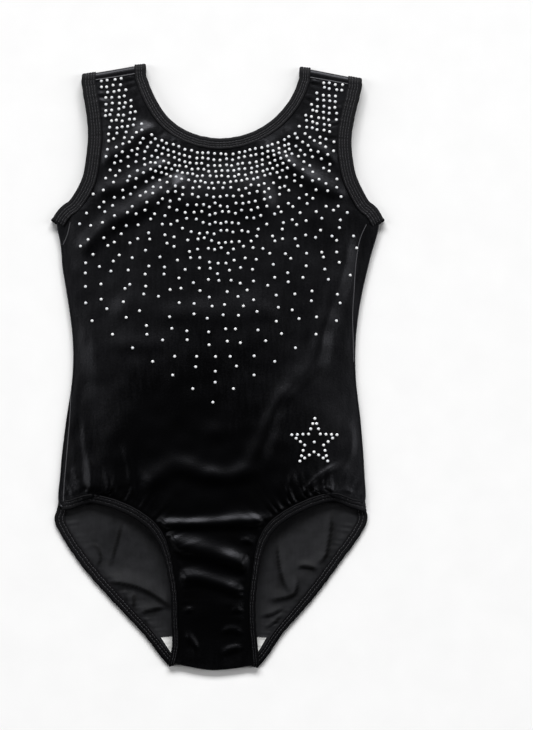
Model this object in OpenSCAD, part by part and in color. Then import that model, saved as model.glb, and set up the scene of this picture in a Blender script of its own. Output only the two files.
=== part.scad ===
// Sleeveless gymnastics leotard, laid flat on its back.
// Millimetres. +X is the right of the garment as seen from the front, +Y runs to the neck and
// +Z points up out of the front. The origin is under the middle of the garment, on the floor.

/* [Garment] */
// Thickness of the stretch velvet
cloth_t = 0.8; // [0.6:0.1:0.9]
// Height of the middle of the front above the floor
loft = 12; // [11:0.5:14]

/* [Bindings] */
// Finished width of the folded neck binding
neck_binding_w = 9.5; // [8.5:0.5:10.5]
// Finished width of the folded armhole bindings
armhole_binding_w = 12; // [10:0.5:13]
// Finished width of the folded leg bindings
leg_binding_w = 8.5; // [8.5:0.5:10]
// Thickness of the binding cloth
binding_t = 0.6; // [0.5:0.1:0.7]
// Overall thickness of a folded binding
binding_h = 2.8; // [2.6:0.1:3]
// Width of the elastic inside a binding
elastic_w = 3.4; // [2.8:0.2:3.4]
// Thickness of the elastic
elastic_t = 1; // [0.8:0.1:1.1]

/* [Neck] */
// Radius of the front neckline, to the cloth's cut edge
neck_r = 71.5; // [70.5:0.5:72]
// Depth of the back neckline, from the neck's centre to the cloth's cut edge
back_neck_depth = 115.5; // [112:0.5:118]

/* [Crystals] */
// Diameter of a stone
stone_d = 2.9; // [2.4:0.1:3.1]
// Height of a stone
stone_h = 1.2; // [1:0.1:1.5]
// Distance from the neckline's cut edge down to the first row of stones
first_row_drop = 8.7; // [8.4:0.1:9.6]
// Radius of the first row of stones
first_row_r = 122; // [116:1:128]
// Spacing of the stones in the dense rows
dense_pitch = 5; // [4.6:0.1:5.4]
// Radius of the hip emblem's star
star_r = 20; // [18:0.5:22]

/* [Hidden] */

velvet = [0.05, 0.05, 0.06];
binding_black = [0.12, 0.12, 0.14];
wrong_side = [0.17, 0.17, 0.19];
lining_white = [0.88, 0.88, 0.87];
elastic_white = [0.8, 0.8, 0.78];
thread_black = [0.2, 0.2, 0.22];
crystal_clear = [0.85, 0.88, 0.92];

fine = 24;
neck_centre = [0, 261];

// Heights of the middle of the cloth: the back's field, bound edges on the floor and the strap.
field_z = cloth_t / 2;
edge_z = binding_h / 2;
over_z = edge_z + binding_h + 0.2;
strap_z = edge_z + 5;
seam_z = 2.9;

// The right half of each panel is a ladder of straight rungs. A rung runs from an inner point, on
// the centre line or the neckline, to an outer point, on the leg edge, side seam or armhole.
// Both lists hold the cloth's cut edges as [x, y, z], from the crotch to the shoulder.
function scoop(angle, depth) = [
    neck_r * sin(angle),
    neck_centre.y - depth * cos(angle)
];
function raised(point, z) = [point.x, point.y, z];

FRONT_INNER = [
    [0, -257, over_z], [0, -234, over_z + 1], [0, -206, 7.4], [0, -184, 8.8], [0, -158, 10.2],
    [0, -130, loft - 0.9], [0, -106, loft - 0.3], [0, -86, loft], [0, -62, loft],
    [0, -42, loft], [0, -18, loft], [0, 8, loft], [0, 36, loft], [0, 66, loft], [0, 94, loft],
    [0, 120, loft], [0, 142, loft], [0, 160, loft], [0, 176, loft - 0.2],
    raised(scoop(0, neck_r), loft - 0.6), raised(scoop(22, neck_r), loft - 1.6),
    raised(scoop(42, neck_r), loft - 3), raised(scoop(60, neck_r), loft - 4.2),
    raised(scoop(73, neck_r), strap_z + 0.3), [70, 247.5, strap_z]
];
FRONT_OUTER = [
    [34, -252.5, over_z], [32, -232, over_z + 0.8], [30.2, -206, 6.4], [31.2, -186, 7.4],
    [37.2, -158.4, 8], [50.7, -134.9, 8.2], [75.9, -118.5, 7.4], [104, -110.3, 6],
    [128.5, -117.5, over_z], [129, -88, seam_z + 0.5], [125, -48, seam_z + 0.5],
    [120, -10, seam_z + 0.5], [119.8, 24, seam_z + 0.5], [124, 58, seam_z + 0.5],
    [130.8, 92, seam_z + 0.5], [136.6, 124, over_z], [123.4, 138.5, 5.8], [112.8, 158, 7.2],
    [108.8, 177, 7.6], [107.5, 193, 7.6], [108.5, 207, 7.4], [110.5, 219, 7.2],
    [112.6, 229, 6.9], [113.8, 235, 6.6], [114.8, 240.5, strap_z]
];
BACK_INNER = [
    [0, -257, edge_z], [0, -238, field_z], [0, -222, field_z], [0, -205, field_z],
    [0, -186, field_z], [0, -167, field_z], [0, -148, field_z], [0, -128, field_z],
    [0, -105, field_z], [0, -80, field_z], [0, -50, field_z], [0, -18, field_z],
    [0, 15, field_z], [0, 48, field_z], [0, 80, field_z], [0, 104, field_z],
    [0, 122, field_z], [0, 136, field_z], raised(scoop(0, back_neck_depth), edge_z),
    raised(scoop(20, back_neck_depth), edge_z), raised(scoop(40, back_neck_depth), edge_z),
    raised(scoop(60, back_neck_depth), edge_z), raised(scoop(76, back_neck_depth), edge_z),
    [70, 243, edge_z], [70, 252.2, edge_z], [70, 254.3, edge_z + 1], [70, 254.9, edge_z + 2.5],
    [70, 254.3, edge_z + 4], [70, 252.2, strap_z], [70, 248.5, strap_z]
];
BACK_OUTER = [
    [34.5, -252.5, edge_z], [43, -242, edge_z], [54, -226, edge_z], [66.4, -212, edge_z],
    [81.7, -195, edge_z], [95.7, -178, edge_z], [108.5, -161, edge_z], [120.7, -144, edge_z],
    [127.6, -128.5, edge_z], [130, -105, seam_z - 0.9], [127, -65, seam_z - 0.9],
    [121, -22, seam_z - 0.9], [119.6, 15, seam_z - 0.9], [122.8, 50, seam_z - 0.9],
    [129.4, 86, seam_z - 0.9], [136.6, 124, edge_z], [123.4, 138.5, edge_z],
    [112.5, 160, edge_z], [108.4, 180, edge_z], [107.5, 196, edge_z], [109.2, 212, edge_z],
    [111.8, 226, edge_z], [113.6, 235, edge_z], [114.4, 238, edge_z], [114.6, 244.2, edge_z],
    [114.6, 246.3, edge_z + 1], [114.6, 246.9, edge_z + 2.5], [114.6, 246.3, edge_z + 4],
    [114.6, 244.2, strap_z], [114.8, 241.5, strap_z]
];
FRONT_HIP = 8;
FRONT_UNDERARM = 15;
FRONT_NECK = 19;
FRONT_TOP = len(FRONT_INNER) - 1;
BACK_HIP = 8;
BACK_UNDERARM = 15;
BACK_NECK = 18;
BACK_TOP = len(BACK_INNER) - 1;

// A smooth curve through a list of points, read at a fractional index. Where the list turns from
// the centre line into a neckline, the curve is smooth with its mirror image instead.
function mirrored(p) = [-p.x, p.y, p.z];
function spline(a, b, c, d, t) =
    0.5 * (2 * b + (c - a) * t + (2 * a - 5 * b + 4 * c - d) * t * t
        + (3 * b - a - 3 * c + d) * t * t * t);
function along(list, s, neck = -1) =
    let (last = len(list) - 1, k = min(floor(s), last - 1))
    spline(
        k == neck ? mirrored(list[k + 1]) : list[max(k - 1, 0)], list[k], list[k + 1],
        k == neck - 1 ? 2 * list[neck] - list[k] : list[min(k + 2, last)], s - k);

// A point of a panel: s counts rungs from the crotch, u runs from 0 at the inner end to 1.
function on_rung(inner, outer, u, fall) =
    let (flat = inner + (outer - inner) * u)
    [flat.x, flat.y, outer.z + (inner.z - outer.z) * (1 - pow(u, fall))];
FRONT_FALL = 3;
BACK_FALL = 7;
function front_inner(s) = along(FRONT_INNER, s, FRONT_NECK);
function back_inner(s) = along(BACK_INNER, s, BACK_NECK);
function front_point(s, u) = on_rung(front_inner(s), along(FRONT_OUTER, s), u, FRONT_FALL);
function back_point(s, u) =
    let (p = on_rung(back_inner(s), along(BACK_OUTER, s), u, BACK_FALL))
    [p.x, p.y, max(p.z, field_z)];

function unit(v) = v / max(norm(v), 0.0001);

// Rows of points across a whole panel. Up to the rung `split` both halves share their centre
// point; above it the neckline parts them. Each row lists the left half from its outer end and
// then the right half from its inner end.
function sheet_row(half) = concat([for (i = [len(half) - 1:-1:0]) mirrored(half[i])], half);

module sheet(halves, split, lift, thick) {
    rows = [for (half = halves) sheet_row(half)];
    cols = len(rows[0]);
    mid = cols / 2 - 1;
    last = len(rows) - 1;
    layer = cols * len(rows);
    function at(side, r, c) = side * layer + r * cols + (r <= split && c == mid + 1 ? mid : c);
    function quad(a, b, c, d) = [[a, b, c], [a, c, d]];
    strips = [for (c = [0:cols - 2]) if (c != mid) c];
    points = [
        for (side = [0, 1]) for (r = [0:last]) for (c = [0:cols - 1])
            rows[r][c] + rung_normal(rows, r, c, mid) * (lift + (side - 0.5) * thick)
    ];
    tops = [
        for (r = [0:last - 1]) for (c = strips)
            each quad(at(1, r, c), at(1, r + 1, c), at(1, r + 1, c + 1), at(1, r, c + 1))
    ];
    bottoms = [
        for (r = [0:last - 1]) for (c = strips)
            each quad(at(0, r, c), at(0, r, c + 1), at(0, r + 1, c + 1), at(0, r + 1, c))
    ];
    edge_walls = [
        for (r = [0:last - 1]) each concat(
            quad(at(0, r, 0), at(0, r + 1, 0), at(1, r + 1, 0), at(1, r, 0)),
            quad(at(0, r + 1, cols - 1), at(0, r, cols - 1), at(1, r, cols - 1),
                at(1, r + 1, cols - 1)))
    ];
    neck_walls = [
        for (r = [split:1:last - 1]) each concat(
            quad(at(0, r + 1, mid), at(0, r, mid), at(1, r, mid), at(1, r + 1, mid)),
            quad(at(0, r, mid + 1), at(0, r + 1, mid + 1), at(1, r + 1, mid + 1),
                at(1, r, mid + 1)))
    ];
    end_walls = [
        for (c = strips) each concat(
            quad(at(0, 0, c + 1), at(0, 0, c), at(1, 0, c), at(1, 0, c + 1)),
            quad(at(0, last, c), at(0, last, c + 1), at(1, last, c + 1), at(1, last, c)))
    ];
    polyhedron(points, concat(tops, bottoms, edge_walls, neck_walls, end_walls), convexity = 10);
}

// Direction out of the sheet at a grid point, kept in the plane of symmetry on the centre line.
function rung_normal(rows, r, c, mid) =
    let (
        low = rows[max(r - 1, 0)][c],
        high = rows[min(r + 1, len(rows) - 1)][c],
        first = c <= mid ? 0 : mid + 1,
        left = rows[r][max(c - 1, first)],
        right = rows[r][min(c + 1, first + mid)],
        n = unit(cross(right - left, high - low))
    )
    abs(rows[r][c].x) < 0.001 ? unit([0, n.y, n.z]) : n;

// A strip of constant section along a path of [point, inwards] pairs, where inwards points from
// the edge into the cloth. Points of the section are [inwards, outwards].
function frame_at(path, k, closed) =
    let (
        n = len(path),
        before = closed ? path[(k + n - 1) % n] : path[max(k - 1, 0)],
        after = closed ? path[(k + 1) % n] : path[min(k + 1, n - 1)],
        t = unit(after[0] - before[0]),
        r = path[k][1],
        inwards = unit(r - (r * t) * t)
    )
    [inwards, cross(inwards, t)];

module strip(path, section, closed) {
    n = len(path);
    m = len(section);
    rings = [
        for (k = [0:n - 1]) let (f = frame_at(path, k, closed))
            for (q = section) path[k][0] + f[0] * q[0] + f[1] * q[1]
    ];
    spans = closed ? n - 1 : n - 2;
    sides = [
        for (k = [0:spans]) for (j = [0:m - 1])
            let (
                k2 = (k + 1) % n, j2 = (j + 1) % m,
                a = k * m + j, b = k * m + j2, c = k2 * m + j2, d = k2 * m + j
            )
            each [[a, b, c], [a, c, d]]
    ];
    start_cap = [[for (j = [m - 1:-1:0]) j]];
    end_cap = [[for (j = [0:m - 1]) (n - 1) * m + j]];
    polyhedron(rings, closed ? sides : concat(sides, start_cap, end_cap), convexity = 10);
}

// Sections of a binding, measured from the cloth's cut edge, which every binding passes by
// binding_out: the folded cloth, the elastic in its fold and the cover stitch on its outside.
binding_out = 4.5;
stitch_t = 0.3;
stitch_w = 3;
function box_section(a, b, low, high) = [[a, low], [b, low], [b, high], [a, high]];
function fold_section(width) =
    let (o = -binding_out, i = width - binding_out, h = binding_h / 2, g = h - binding_t)
    [[o, -h], [i, -h], [i, -g], [o + binding_t, -g], [o + binding_t, g], [i, g], [i, h], [o, h]];
function elastic_section() =
    let (a = binding_t + 0.05 - binding_out)
    box_section(a, a + elastic_w, -elastic_t / 2, elastic_t / 2);
function stitch_section(width) =
    let (b = width - binding_out - 0.7)
    box_section(b - stitch_w, b, binding_h / 2, binding_h / 2 + stitch_t);

// Edge paths. Where a path passes from one panel to the other it turns round a small fold.
fold_reach = 1.4;
function level(v) = unit([v.x, v.y, 0]);
LEG_TURN = 5;
slope_reach = 5;
function front_edge(s) =
    let (
        edge = front_point(s, 1),
        length = norm(front_point(s, 0) - edge),
        inwards = unit(front_point(s, 1 - slope_reach / length) - edge)
    )
    [edge, s > LEG_TURN && s < FRONT_HIP ? [-0.2, 0.98, inwards.z] : inwards];
function back_edge(s) = [back_point(s, 1), level(back_point(s, 0) - back_point(s, 1))];
function fold_between(a, b, way, inwards) = [[(a[0] + b[0]) / 2 + way * fold_reach, inwards]];
// At the hip a leg binding starts under the front, and its other end laps over the start.
HIP_BACK_START = [
    [[126, -113, edge_z], [-1, 0.05, 0]],
    [[126.2, -118, edge_z], [-1, 0.08, 0]],
    [[126.7, -123.4, edge_z], [-1, 0.1, 0]]
];
HIP_FRONT_END = [
    [[123.4, -116.9, over_z + 0.3], [-0.2, 0.98, 0.05]],
    [[127.6, -118.6, over_z + 0.1], [-0.25, 0.95, 0]],
    [[131, -120.4, over_z], [-0.3, 0.93, 0]]
];
function leg_path() =
    let (
        back = [for (s = [BACK_HIP:-0.5:0]) back_edge(s)],
        front = [for (s = [0:0.5:FRONT_HIP - 0.5]) front_edge(s)]
    )
    concat(HIP_BACK_START, back,
        fold_between(back[len(back) - 1], front[0], [-0.3, -0.95, 0], [-0.9, 0.25, 0]),
        front, HIP_FRONT_END);
function armhole_path() =
    let (
        front = [for (s = [FRONT_UNDERARM:0.5:FRONT_TOP]) front_edge(s)],
        back = [for (s = [BACK_TOP:-0.5:BACK_UNDERARM]) back_edge(s)]
    )
    concat(front, back,
        fold_between(back[len(back) - 1], front[0], [0.8, -0.6, 0], [-0.62, -0.78, 0]));
function neck_edge(p) = [p, level([p.x, p.y - neck_centre.y, 0])];
function neck_path() =
    let (
        right = concat(
            [for (s = [FRONT_NECK + 0.5:0.5:FRONT_TOP]) front_point(s, 0)],
            [for (s = [BACK_TOP:-0.5:BACK_NECK + 0.5]) back_point(s, 0)]
        )
    )
    [
        for (p = concat([front_point(FRONT_NECK, 0)], right, [back_point(BACK_NECK, 0)],
            [for (k = [len(right) - 1:-1:0]) mirrored(right[k])])) neck_edge(p)
    ];

// Seen along its path the neck has its cloth on the other hand, so its section is turned over.
function turned_over(section) =
    [for (k = [len(section) - 1:-1:0]) [section[k][0], -section[k][1]]];
module neck_strip(section) strip(neck_path(), turned_over(section), true);
module leg_strip(section) strip(leg_path(), section, false);
module armhole_strip(section) strip(armhole_path(), section, true);
module on_left() mirror([1, 0, 0]) children();

// Panels
module front_panel() {
    across = [0, 0.2, 0.4, 0.58, 0.72, 0.84, 0.94, 1];
    halves = [for (s = [0:0.5:FRONT_TOP]) [for (u = across) front_point(s, u)]];
    color(velvet) sheet(halves, FRONT_NECK * 2, 0, cloth_t);
}

module back_panel() {
    across = [0, 0.3, 0.6, 0.84, 0.94, 1];
    halves = [for (s = [0:0.5:BACK_TOP]) [for (u = across) back_point(s, u)]];
    color(wrong_side) sheet(halves, BACK_NECK * 2, 0, cloth_t);
}

// The lining lies on the inside of the back and ends under the leg bindings. Its top edge, on the
// rung lining_top, is stitched down across most of the width.
lining_t = 0.5;
lining_top = 1.7;
lining_stitched = 0.7;
lining_hem = 2.4;
lining_stitch_w = 1;
module crotch_lining() {
    across = [0, 0.4, 0.72, 0.86];
    halves = [for (s = [0.3:0.35:lining_top]) [for (u = across) back_point(s, u)]];
    color(lining_white) sheet(halves, len(halves), (cloth_t + lining_t) / 2 + 0.02, lining_t);
}

module lining_topstitch() {
    edge = back_point(lining_top, 0);
    half_length = back_point(lining_top, lining_stitched).x;
    color(thread_black)
        translate([-half_length, edge.y - lining_hem, cloth_t + lining_t + 0.05])
            cube([half_length * 2, lining_stitch_w, stitch_t]);
}

// Bindings, their elastics and their cover stitching
module neck_binding() color(binding_black) neck_strip(fold_section(neck_binding_w));
module neck_elastic() color(elastic_white) neck_strip(elastic_section());
module neck_topstitch() color(thread_black) neck_strip(stitch_section(neck_binding_w));
module armhole_binding_right()
    color(binding_black) armhole_strip(fold_section(armhole_binding_w));
module armhole_binding_left() on_left() armhole_binding_right();
module armhole_elastic_right() color(elastic_white) armhole_strip(elastic_section());
module armhole_elastic_left() on_left() armhole_elastic_right();
module armhole_topstitch_right()
    color(thread_black) armhole_strip(stitch_section(armhole_binding_w));
module armhole_topstitch_left() on_left() armhole_topstitch_right();
module leg_binding_right() color(binding_black) leg_strip(fold_section(leg_binding_w));
module leg_binding_left() on_left() leg_binding_right();
module leg_elastic_right() color(elastic_white) leg_strip(elastic_section());
module leg_elastic_left() on_left() leg_elastic_right();
module leg_topstitch_right() color(thread_black) leg_strip(stitch_section(leg_binding_w));
module leg_topstitch_left() on_left() leg_topstitch_right();

// Seams: overlocked allowances that lie inside the garment between the two panels
allowance = 5;
seam_t = 0.6;
seam_clear = 0.15;
shoulder_inset = 5;
shoulder_lap = 2;
crotch_seam_half = 29;
crotch_seam_y = -253.2;
module side_seam_right() {
    path = [
        for (s = [FRONT_HIP + 0.5:0.5:FRONT_UNDERARM - 0.5])
            let (p = front_point(s, 1)) [[p.x, p.y, seam_z - 0.2], [-1, 0, 0]]
    ];
    color(thread_black) strip(path, box_section(0, allowance, -seam_t / 2, seam_t / 2), false);
}
module side_seam_left() on_left() side_seam_right();

module shoulder_seam_right() {
    a = FRONT_INNER[FRONT_TOP];
    b = FRONT_OUTER[FRONT_TOP];
    tilt = atan2(b.y - a.y, b.x - a.x);
    color(thread_black)
        translate([a.x, a.y, strap_z - cloth_t / 2 - seam_t - 0.05])
            rotate([0, 0, tilt])
                translate([shoulder_inset, -shoulder_lap, 0])
                    cube([norm(b - a) - 2 * shoulder_inset, allowance, seam_t]);
}
module shoulder_seam_left() on_left() shoulder_seam_right();

module crotch_seam() {
    low = edge_z + cloth_t / 2 + seam_clear;
    high = over_z - cloth_t / 2 - seam_clear;
    color(thread_black)
        translate([-crotch_seam_half, crotch_seam_y, low])
            cube([2 * crotch_seam_half, allowance, high - low]);
}

// A blank label, sewn into the left side seam beside the rung label_rung.
label_rung = 11.5;
label_size = [22, 14, 0.3];
module care_label() {
    seam = front_point(label_rung, 1);
    color(lining_white)
        translate([-seam.x + allowance + 0.1, seam.y, seam_z - 0.4])
            cube(label_size);
}

// Stones. A stone is a faceted flat-back: a straight girdle, a sloping crown and a flat table.
stone_sink = 0.03;
module stone() {
    r = stone_d / 2;
    rotate_extrude($fn = fine)
        polygon([
            [0, 0], [r, 0], [r, stone_h * 0.3], [r * 0.55, stone_h], [0, stone_h]
        ]);
}

// The rung that passes through a place on the front, found by halving, and the surface there.
function rung_y(s, x) =
    let (a = front_inner(s), b = along(FRONT_OUTER, s))
    a.y + (b.y - a.y) * (x - a.x) / (b.x - a.x);
function find_rung(x, y, low, high, turns) =
    let (s = (low + high) / 2)
    turns == 0 ? s
    : rung_y(s, x) < y ? find_rung(x, y, s, high, turns - 1)
    : find_rung(x, y, low, s, turns - 1);
halvings = 14;
function front_z(x, y) =
    let (
        s = find_rung(abs(x), y, 0, FRONT_TOP, halvings),
        a = front_inner(s),
        b = along(FRONT_OUTER, s),
        u = max(0, min(1, (abs(x) - a.x) / (b.x - a.x)))
    )
    on_rung(a, b, u, FRONT_FALL).z + cloth_t / 2;

module stones(places) {
    probe = 1;
    color(crystal_clear)
        for (p = places) {
            z = front_z(p.x, p.y);
            slope_x = (front_z(p.x + probe, p.y) - front_z(p.x - probe, p.y)) / (2 * probe);
            slope_y = (front_z(p.x, p.y + probe) - front_z(p.x, p.y - probe)) / (2 * probe);
            translate([p.x, p.y, z - stone_sink])
                rotate([atan(slope_y), -atan(slope_x), 0])
                    stone();
        }
}

// Half the width that stones may fill at a height: clear of the armhole bindings, and below
// the armholes clear of the sides.
stone_margin = armhole_binding_w - binding_out + stone_d / 2 + 2;
side_reach = 118;
function stone_reach(y) =
    min(side_reach, lookup(y, [[124, 136.6], [138.5, 123.4], [158, 112.8], [177, 108.8],
        [193, 107.5], [219, 110.5], [250, 116]]) - stone_margin);

// The rows of stones are arcs about one centre above the neck, from one side to the other. Each
// row starts at its own place, so that neighbouring rows are staggered. Stones are set by hand,
// so each one strays from its place, as far as leaves its neighbours free.
row_centre = [0, neck_centre.y - neck_r - first_row_drop + first_row_r];
row_end = 66;
row_stagger = 0.618;
uneven = 0.16;
free_gap = stone_d + 0.25;
most_stray = 3.2;
clear_of_straps = 3.2;
function row_point(r, angle) = [r * sin(angle), row_centre.y - r * cos(angle)];
function stray(gap) = max(0, min(most_stray, (gap - free_gap) / 2));
function seed_of(p) = p.x * 13 + p.y * 7;
function strayed(p, along_x, along_y, seed) =
    let (by = rands(-1, 1, 2, seed + seed_of(p)))
    [p.x + along_x * by[0], p.y + along_y * by[1]];
function row_angles(row, r, angle) =
    angle > row_end ? []
    : let (step = pitch(row, r * sin(angle)) * (1 + uneven * rands(-1, 1, 1, row * 31 + angle)[0]))
        concat([angle], row_angles(row, r, angle + step / r * 180 / PI));
function in_rows(p) =
    abs(p.x) < stone_reach(p.y) && p.y > vee_y(p.x) + vee_gap
    && p.y < strap_line - clear_of_straps - strap_slope * (abs(p.x) - strap_inner(strap_line));
function row_stones(row) =
    let (
        r = row_r(row),
        start = (row * row_stagger - floor(row * row_stagger)) * pitch(row, r) / r * 180 / PI
    )
    [
        for (a = row_angles(row, r, start - row_end))
            let (
                p = row_point(r, a),
                by = rands(-1, 1, 2, row * 57 + a * 13),
                out = by[0] * stray(row_r(row) - row_r(row - 1)),
                snug = min(pitch(row, p.x), pitch(row, abs(p.x) - dense_pitch)),
                aside = by[1] * stray(snug * (1 - uneven))
            )
            if (in_rows(p)) row_point(r + out, a + aside / r * 180 / PI)
    ];

// The first rows are evenly dense. Below them the gap from one row to the next grows steadily.
yoke_rows = 6;
yoke_gap = 4.9;
lower_rows = 20;
first_gap = 6;
last_gap = 12.2;
function row_r(row) =
    row < yoke_rows ? first_row_r + row * yoke_gap
    : let (k = row - yoke_rows + 1)
        first_row_r + (yoke_rows - 1) * yoke_gap + first_gap * k
        + (last_gap - first_gap) * k * k / (2 * lower_rows);

// Spacing along a row: closest along the middle of the chest and wider towards the sides.
yoke_half = 58;
shoulder_pitch = 7.3;
function pitch(row, x) =
    row < yoke_rows ? (abs(x) < yoke_half ? dense_pitch : shoulder_pitch)
    : let (
        t = (row - yoke_rows) / lower_rows,
        side = lookup(t, [[0, 7.8], [0.15, 9.6], [0.3, 11], [0.5, 15], [0.7, 19], [1, 20]]),
        middle = lookup(t, [[0, 6.4], [0.2, 4.9], [0.35, 5.8], [0.5, 9], [0.7, 12.5], [1, 17]]),
        spread = lookup(t, [[0, 60], [0.2, 34], [0.35, 30], [0.6, 25], [1, 20]])
    )
    side + (middle - side) * exp(-pow(x / spread, 2));

// The straps carry level rows of their own between two slanting lines.
strap_line = 205;
strap_top = 244;
strap_gap = 4.8;
strap_pitch = 5.1;
strap_slope = 0.12;
strap_first = -0.4;
strap_edges = [[201, 66], [244, 87]];
strap_ends = [[210, 97], [244, 107]];
function strap_inner(y) = lookup(y, strap_edges);
function strap_outer(y) = min(stone_reach(y), lookup(y, strap_ends));
function strap_stones(side) = [
    for (row = [0:floor((strap_top - strap_line) / strap_gap)])
        let (
            y = strap_line + strap_first + row * strap_gap,
            first = strap_inner(y) + (row % 2) * strap_pitch / 2
        )
        for (x = [first:strap_pitch:strap_outer(y)])
            strayed([side * x, y - strap_slope * (x - first)], stray(strap_pitch), stray(strap_gap), side)
];

// The lower edge is a shallow V of evenly spaced stones.
vee_bottom = -30;
vee_slope = 0.67;
vee_pitch = 17.2;
vee_gap = 10.5;
function vee_y(x) = vee_bottom + vee_slope * abs(x);
function vee() = [
    for (i = [-6:6]) let (x = i * vee_pitch) if (abs(x) < side_reach) [x, vee_y(x)]
];
chest_end = 15;
function rows_of_stones(first, last) = [for (row = [first:last]) each row_stones(row)];

// Emblem: the outline of a five-pointed star with one stone at its middle.
star_centre = [85.9, -63.8];
star_waist = 0.42;
stones_per_edge = 3;
function star_corner(k) = star_centre
    + star_r * (k % 2 == 0 ? 1 : star_waist) * [sin(k * 36), cos(k * 36)];
function star() = concat([star_centre], [
    for (k = [0:9]) for (i = [0:stones_per_edge - 1])
        star_corner(k) + (star_corner(k + 1) - star_corner(k)) * i / stones_per_edge
]);

module strap_crystals_right() stones(strap_stones(1));
module strap_crystals_left() stones(strap_stones(-1));
module neckline_crystals() stones(rows_of_stones(0, yoke_rows - 1));
module chest_crystals() stones(rows_of_stones(yoke_rows, chest_end - 1));
module lower_crystals() stones(concat(rows_of_stones(chest_end, yoke_rows + lower_rows), vee()));
module emblem_crystals() stones(star());

front_panel();
back_panel();
crotch_lining();
neck_binding();
armhole_binding_left();
armhole_binding_right();
leg_binding_left();
leg_binding_right();
neck_elastic();
armhole_elastic_left();
armhole_elastic_right();
leg_elastic_left();
leg_elastic_right();
neck_topstitch();
armhole_topstitch_left();
armhole_topstitch_right();
leg_topstitch_left();
leg_topstitch_right();
lining_topstitch();
shoulder_seam_left();
shoulder_seam_right();
side_seam_left();
side_seam_right();
crotch_seam();
care_label();
strap_crystals_left();
strap_crystals_right();
neckline_crystals();
chest_crystals();
lower_crystals();
emblem_crystals();
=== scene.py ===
"""A gymnastics leotard, laid flat on its back: its looks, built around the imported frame.

Tables are in millimetres in the frame of the part, where +X is the right of the garment as seen
from the front, +Y runs to the neck and +Z points up out of the front. MM turns them into metres.
"""
import math

import bmesh
import bpy
import numpy as np
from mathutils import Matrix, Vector
from mathutils.bvhtree import BVHTree


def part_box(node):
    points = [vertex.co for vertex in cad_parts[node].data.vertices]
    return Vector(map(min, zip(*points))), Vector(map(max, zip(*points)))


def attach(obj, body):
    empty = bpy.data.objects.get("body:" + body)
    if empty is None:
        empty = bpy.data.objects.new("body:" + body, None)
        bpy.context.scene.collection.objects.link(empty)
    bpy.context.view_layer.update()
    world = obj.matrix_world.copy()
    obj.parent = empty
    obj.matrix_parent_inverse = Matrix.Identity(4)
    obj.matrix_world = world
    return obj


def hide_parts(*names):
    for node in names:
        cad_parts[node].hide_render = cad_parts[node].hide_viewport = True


MM = 0.001
BODY = "root"

# The garment's measures, as in the part.
CLOTH_T = 0.8
LOFT = 12.0
BINDING_H = 2.8
BINDING_T = 0.6
BINDING_OUT = 4.5
NECK_W = 9.5
ARMHOLE_W = 12.0
LEG_W = 8.5
ELASTIC_W = 3.4
ELASTIC_T = 1.0
NECK_R = 71.5
BACK_NECK_DEPTH = 115.5
NECK_Y = 261.0
FIELD_Z = CLOTH_T / 2
EDGE_Z = BINDING_H / 2
OVER_Z = EDGE_Z + BINDING_H + 0.2
STRAP_Z = EDGE_Z + 5
SEAM_Z = 2.9
CROTCH_Y = -257.0

# How the cloth lies: how far the crotch is rounded, how deep the gathers and the back's folds are,
# and how much narrower a ridge is on its steep side.
CROTCH_ROUND = 0.7
GATHER_DEPTH = 1.05
BACK_FOLD_GAIN = 0.7
FRONT_STEEP = 0.75
BACK_STEEP = 0.3
# At the crotch the front's edge turns under in this many rows, and bulges this far as it does.
CURL_ROWS = 8
CURL_OUT = 0.9

# The bindings: the pitch of their rings, how much narrower a leg binding is at the crotch on the
# back and on the front, how far one bulges where it folds over from panel to panel, how far into
# the cloth its slope is read, and the rung where the leg opening turns to run along the rungs.
RING_PITCH = 1.5
CROTCH_NARROWING = (0.16, 0.36)
FOLD_REACH = 1.4
SLOPE_REACH = 5.0
LEG_TURN = 5
TURN_WAY = np.array([-0.2, 0.98])
TURN_SPAN = 6.0
BINDINGS = {
    # name: (width, rows of stitches from the cut edge, depth of its gathers, seed)
    "neck": (NECK_W, (-0.9, 1.0, 2.9), 0.16, 2.0),
    "armhole": (ARMHOLE_W, (-0.8, 1.5, 3.8, 6.0), 0.18, 8.0),
    "leg": (LEG_W, (-0.8, 2.0), 0.3, 5.0),
}
STITCH_LENGTH = 2.1
STITCH_GAP = 0.55
STITCH_R = 0.2
STITCH_SINK = 0.18
# A stitch's rings: the place along it, and the lift and the size in radii of the thread.
STITCH_PROFILE = [(-0.5, -0.5, 0.45), (-0.38, 0.35, 0.9), (0, 0.7, 1.0), (0.38, 0.35, 0.9),
                  (0.5, -0.5, 0.45)]

# Seams, lining, label and stones. The lining reaches from the first to the second of its rungs
# and a part of the way along them, and its stitches follow a rung of their own.
ALLOWANCE_W = 5.0
ALLOWANCE_T = 0.45
OVERLOCK_R = 0.16
OVERLOCK_PITCH = 1.9
WELT_R = 0.38
WELT_SINK = 0.05
SHOULDER_WELT_R = 0.42
LINING_T = 0.5
LINING_RUNGS = (0.25, 1.7)
LINING_REACH = 0.88
LINING_ROW = 1.62
ZIGZAG_REACH = 0.7
ZIGZAG_R = 0.17
LABEL_T = 0.28
STONE_R = 1.3
STONE_H = 1.2
STONE_SINK = 0.08
STONE_SIDES = 8
RAY_TOP = 60

# Soft patches of painted shade, in metres: the belly, where the velvet is painted darker and
# duller, and the crotch, where the black edges and their threads are painted darkest. Each is
# (x and y of its middle, half width, half height).
BELLY_SHADE_PATCH = (-0.0125, -0.125, 0.125, 0.16875)
CROTCH_SHADE_PATCH = (0, -0.24, 0.27, 0.27)

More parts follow.
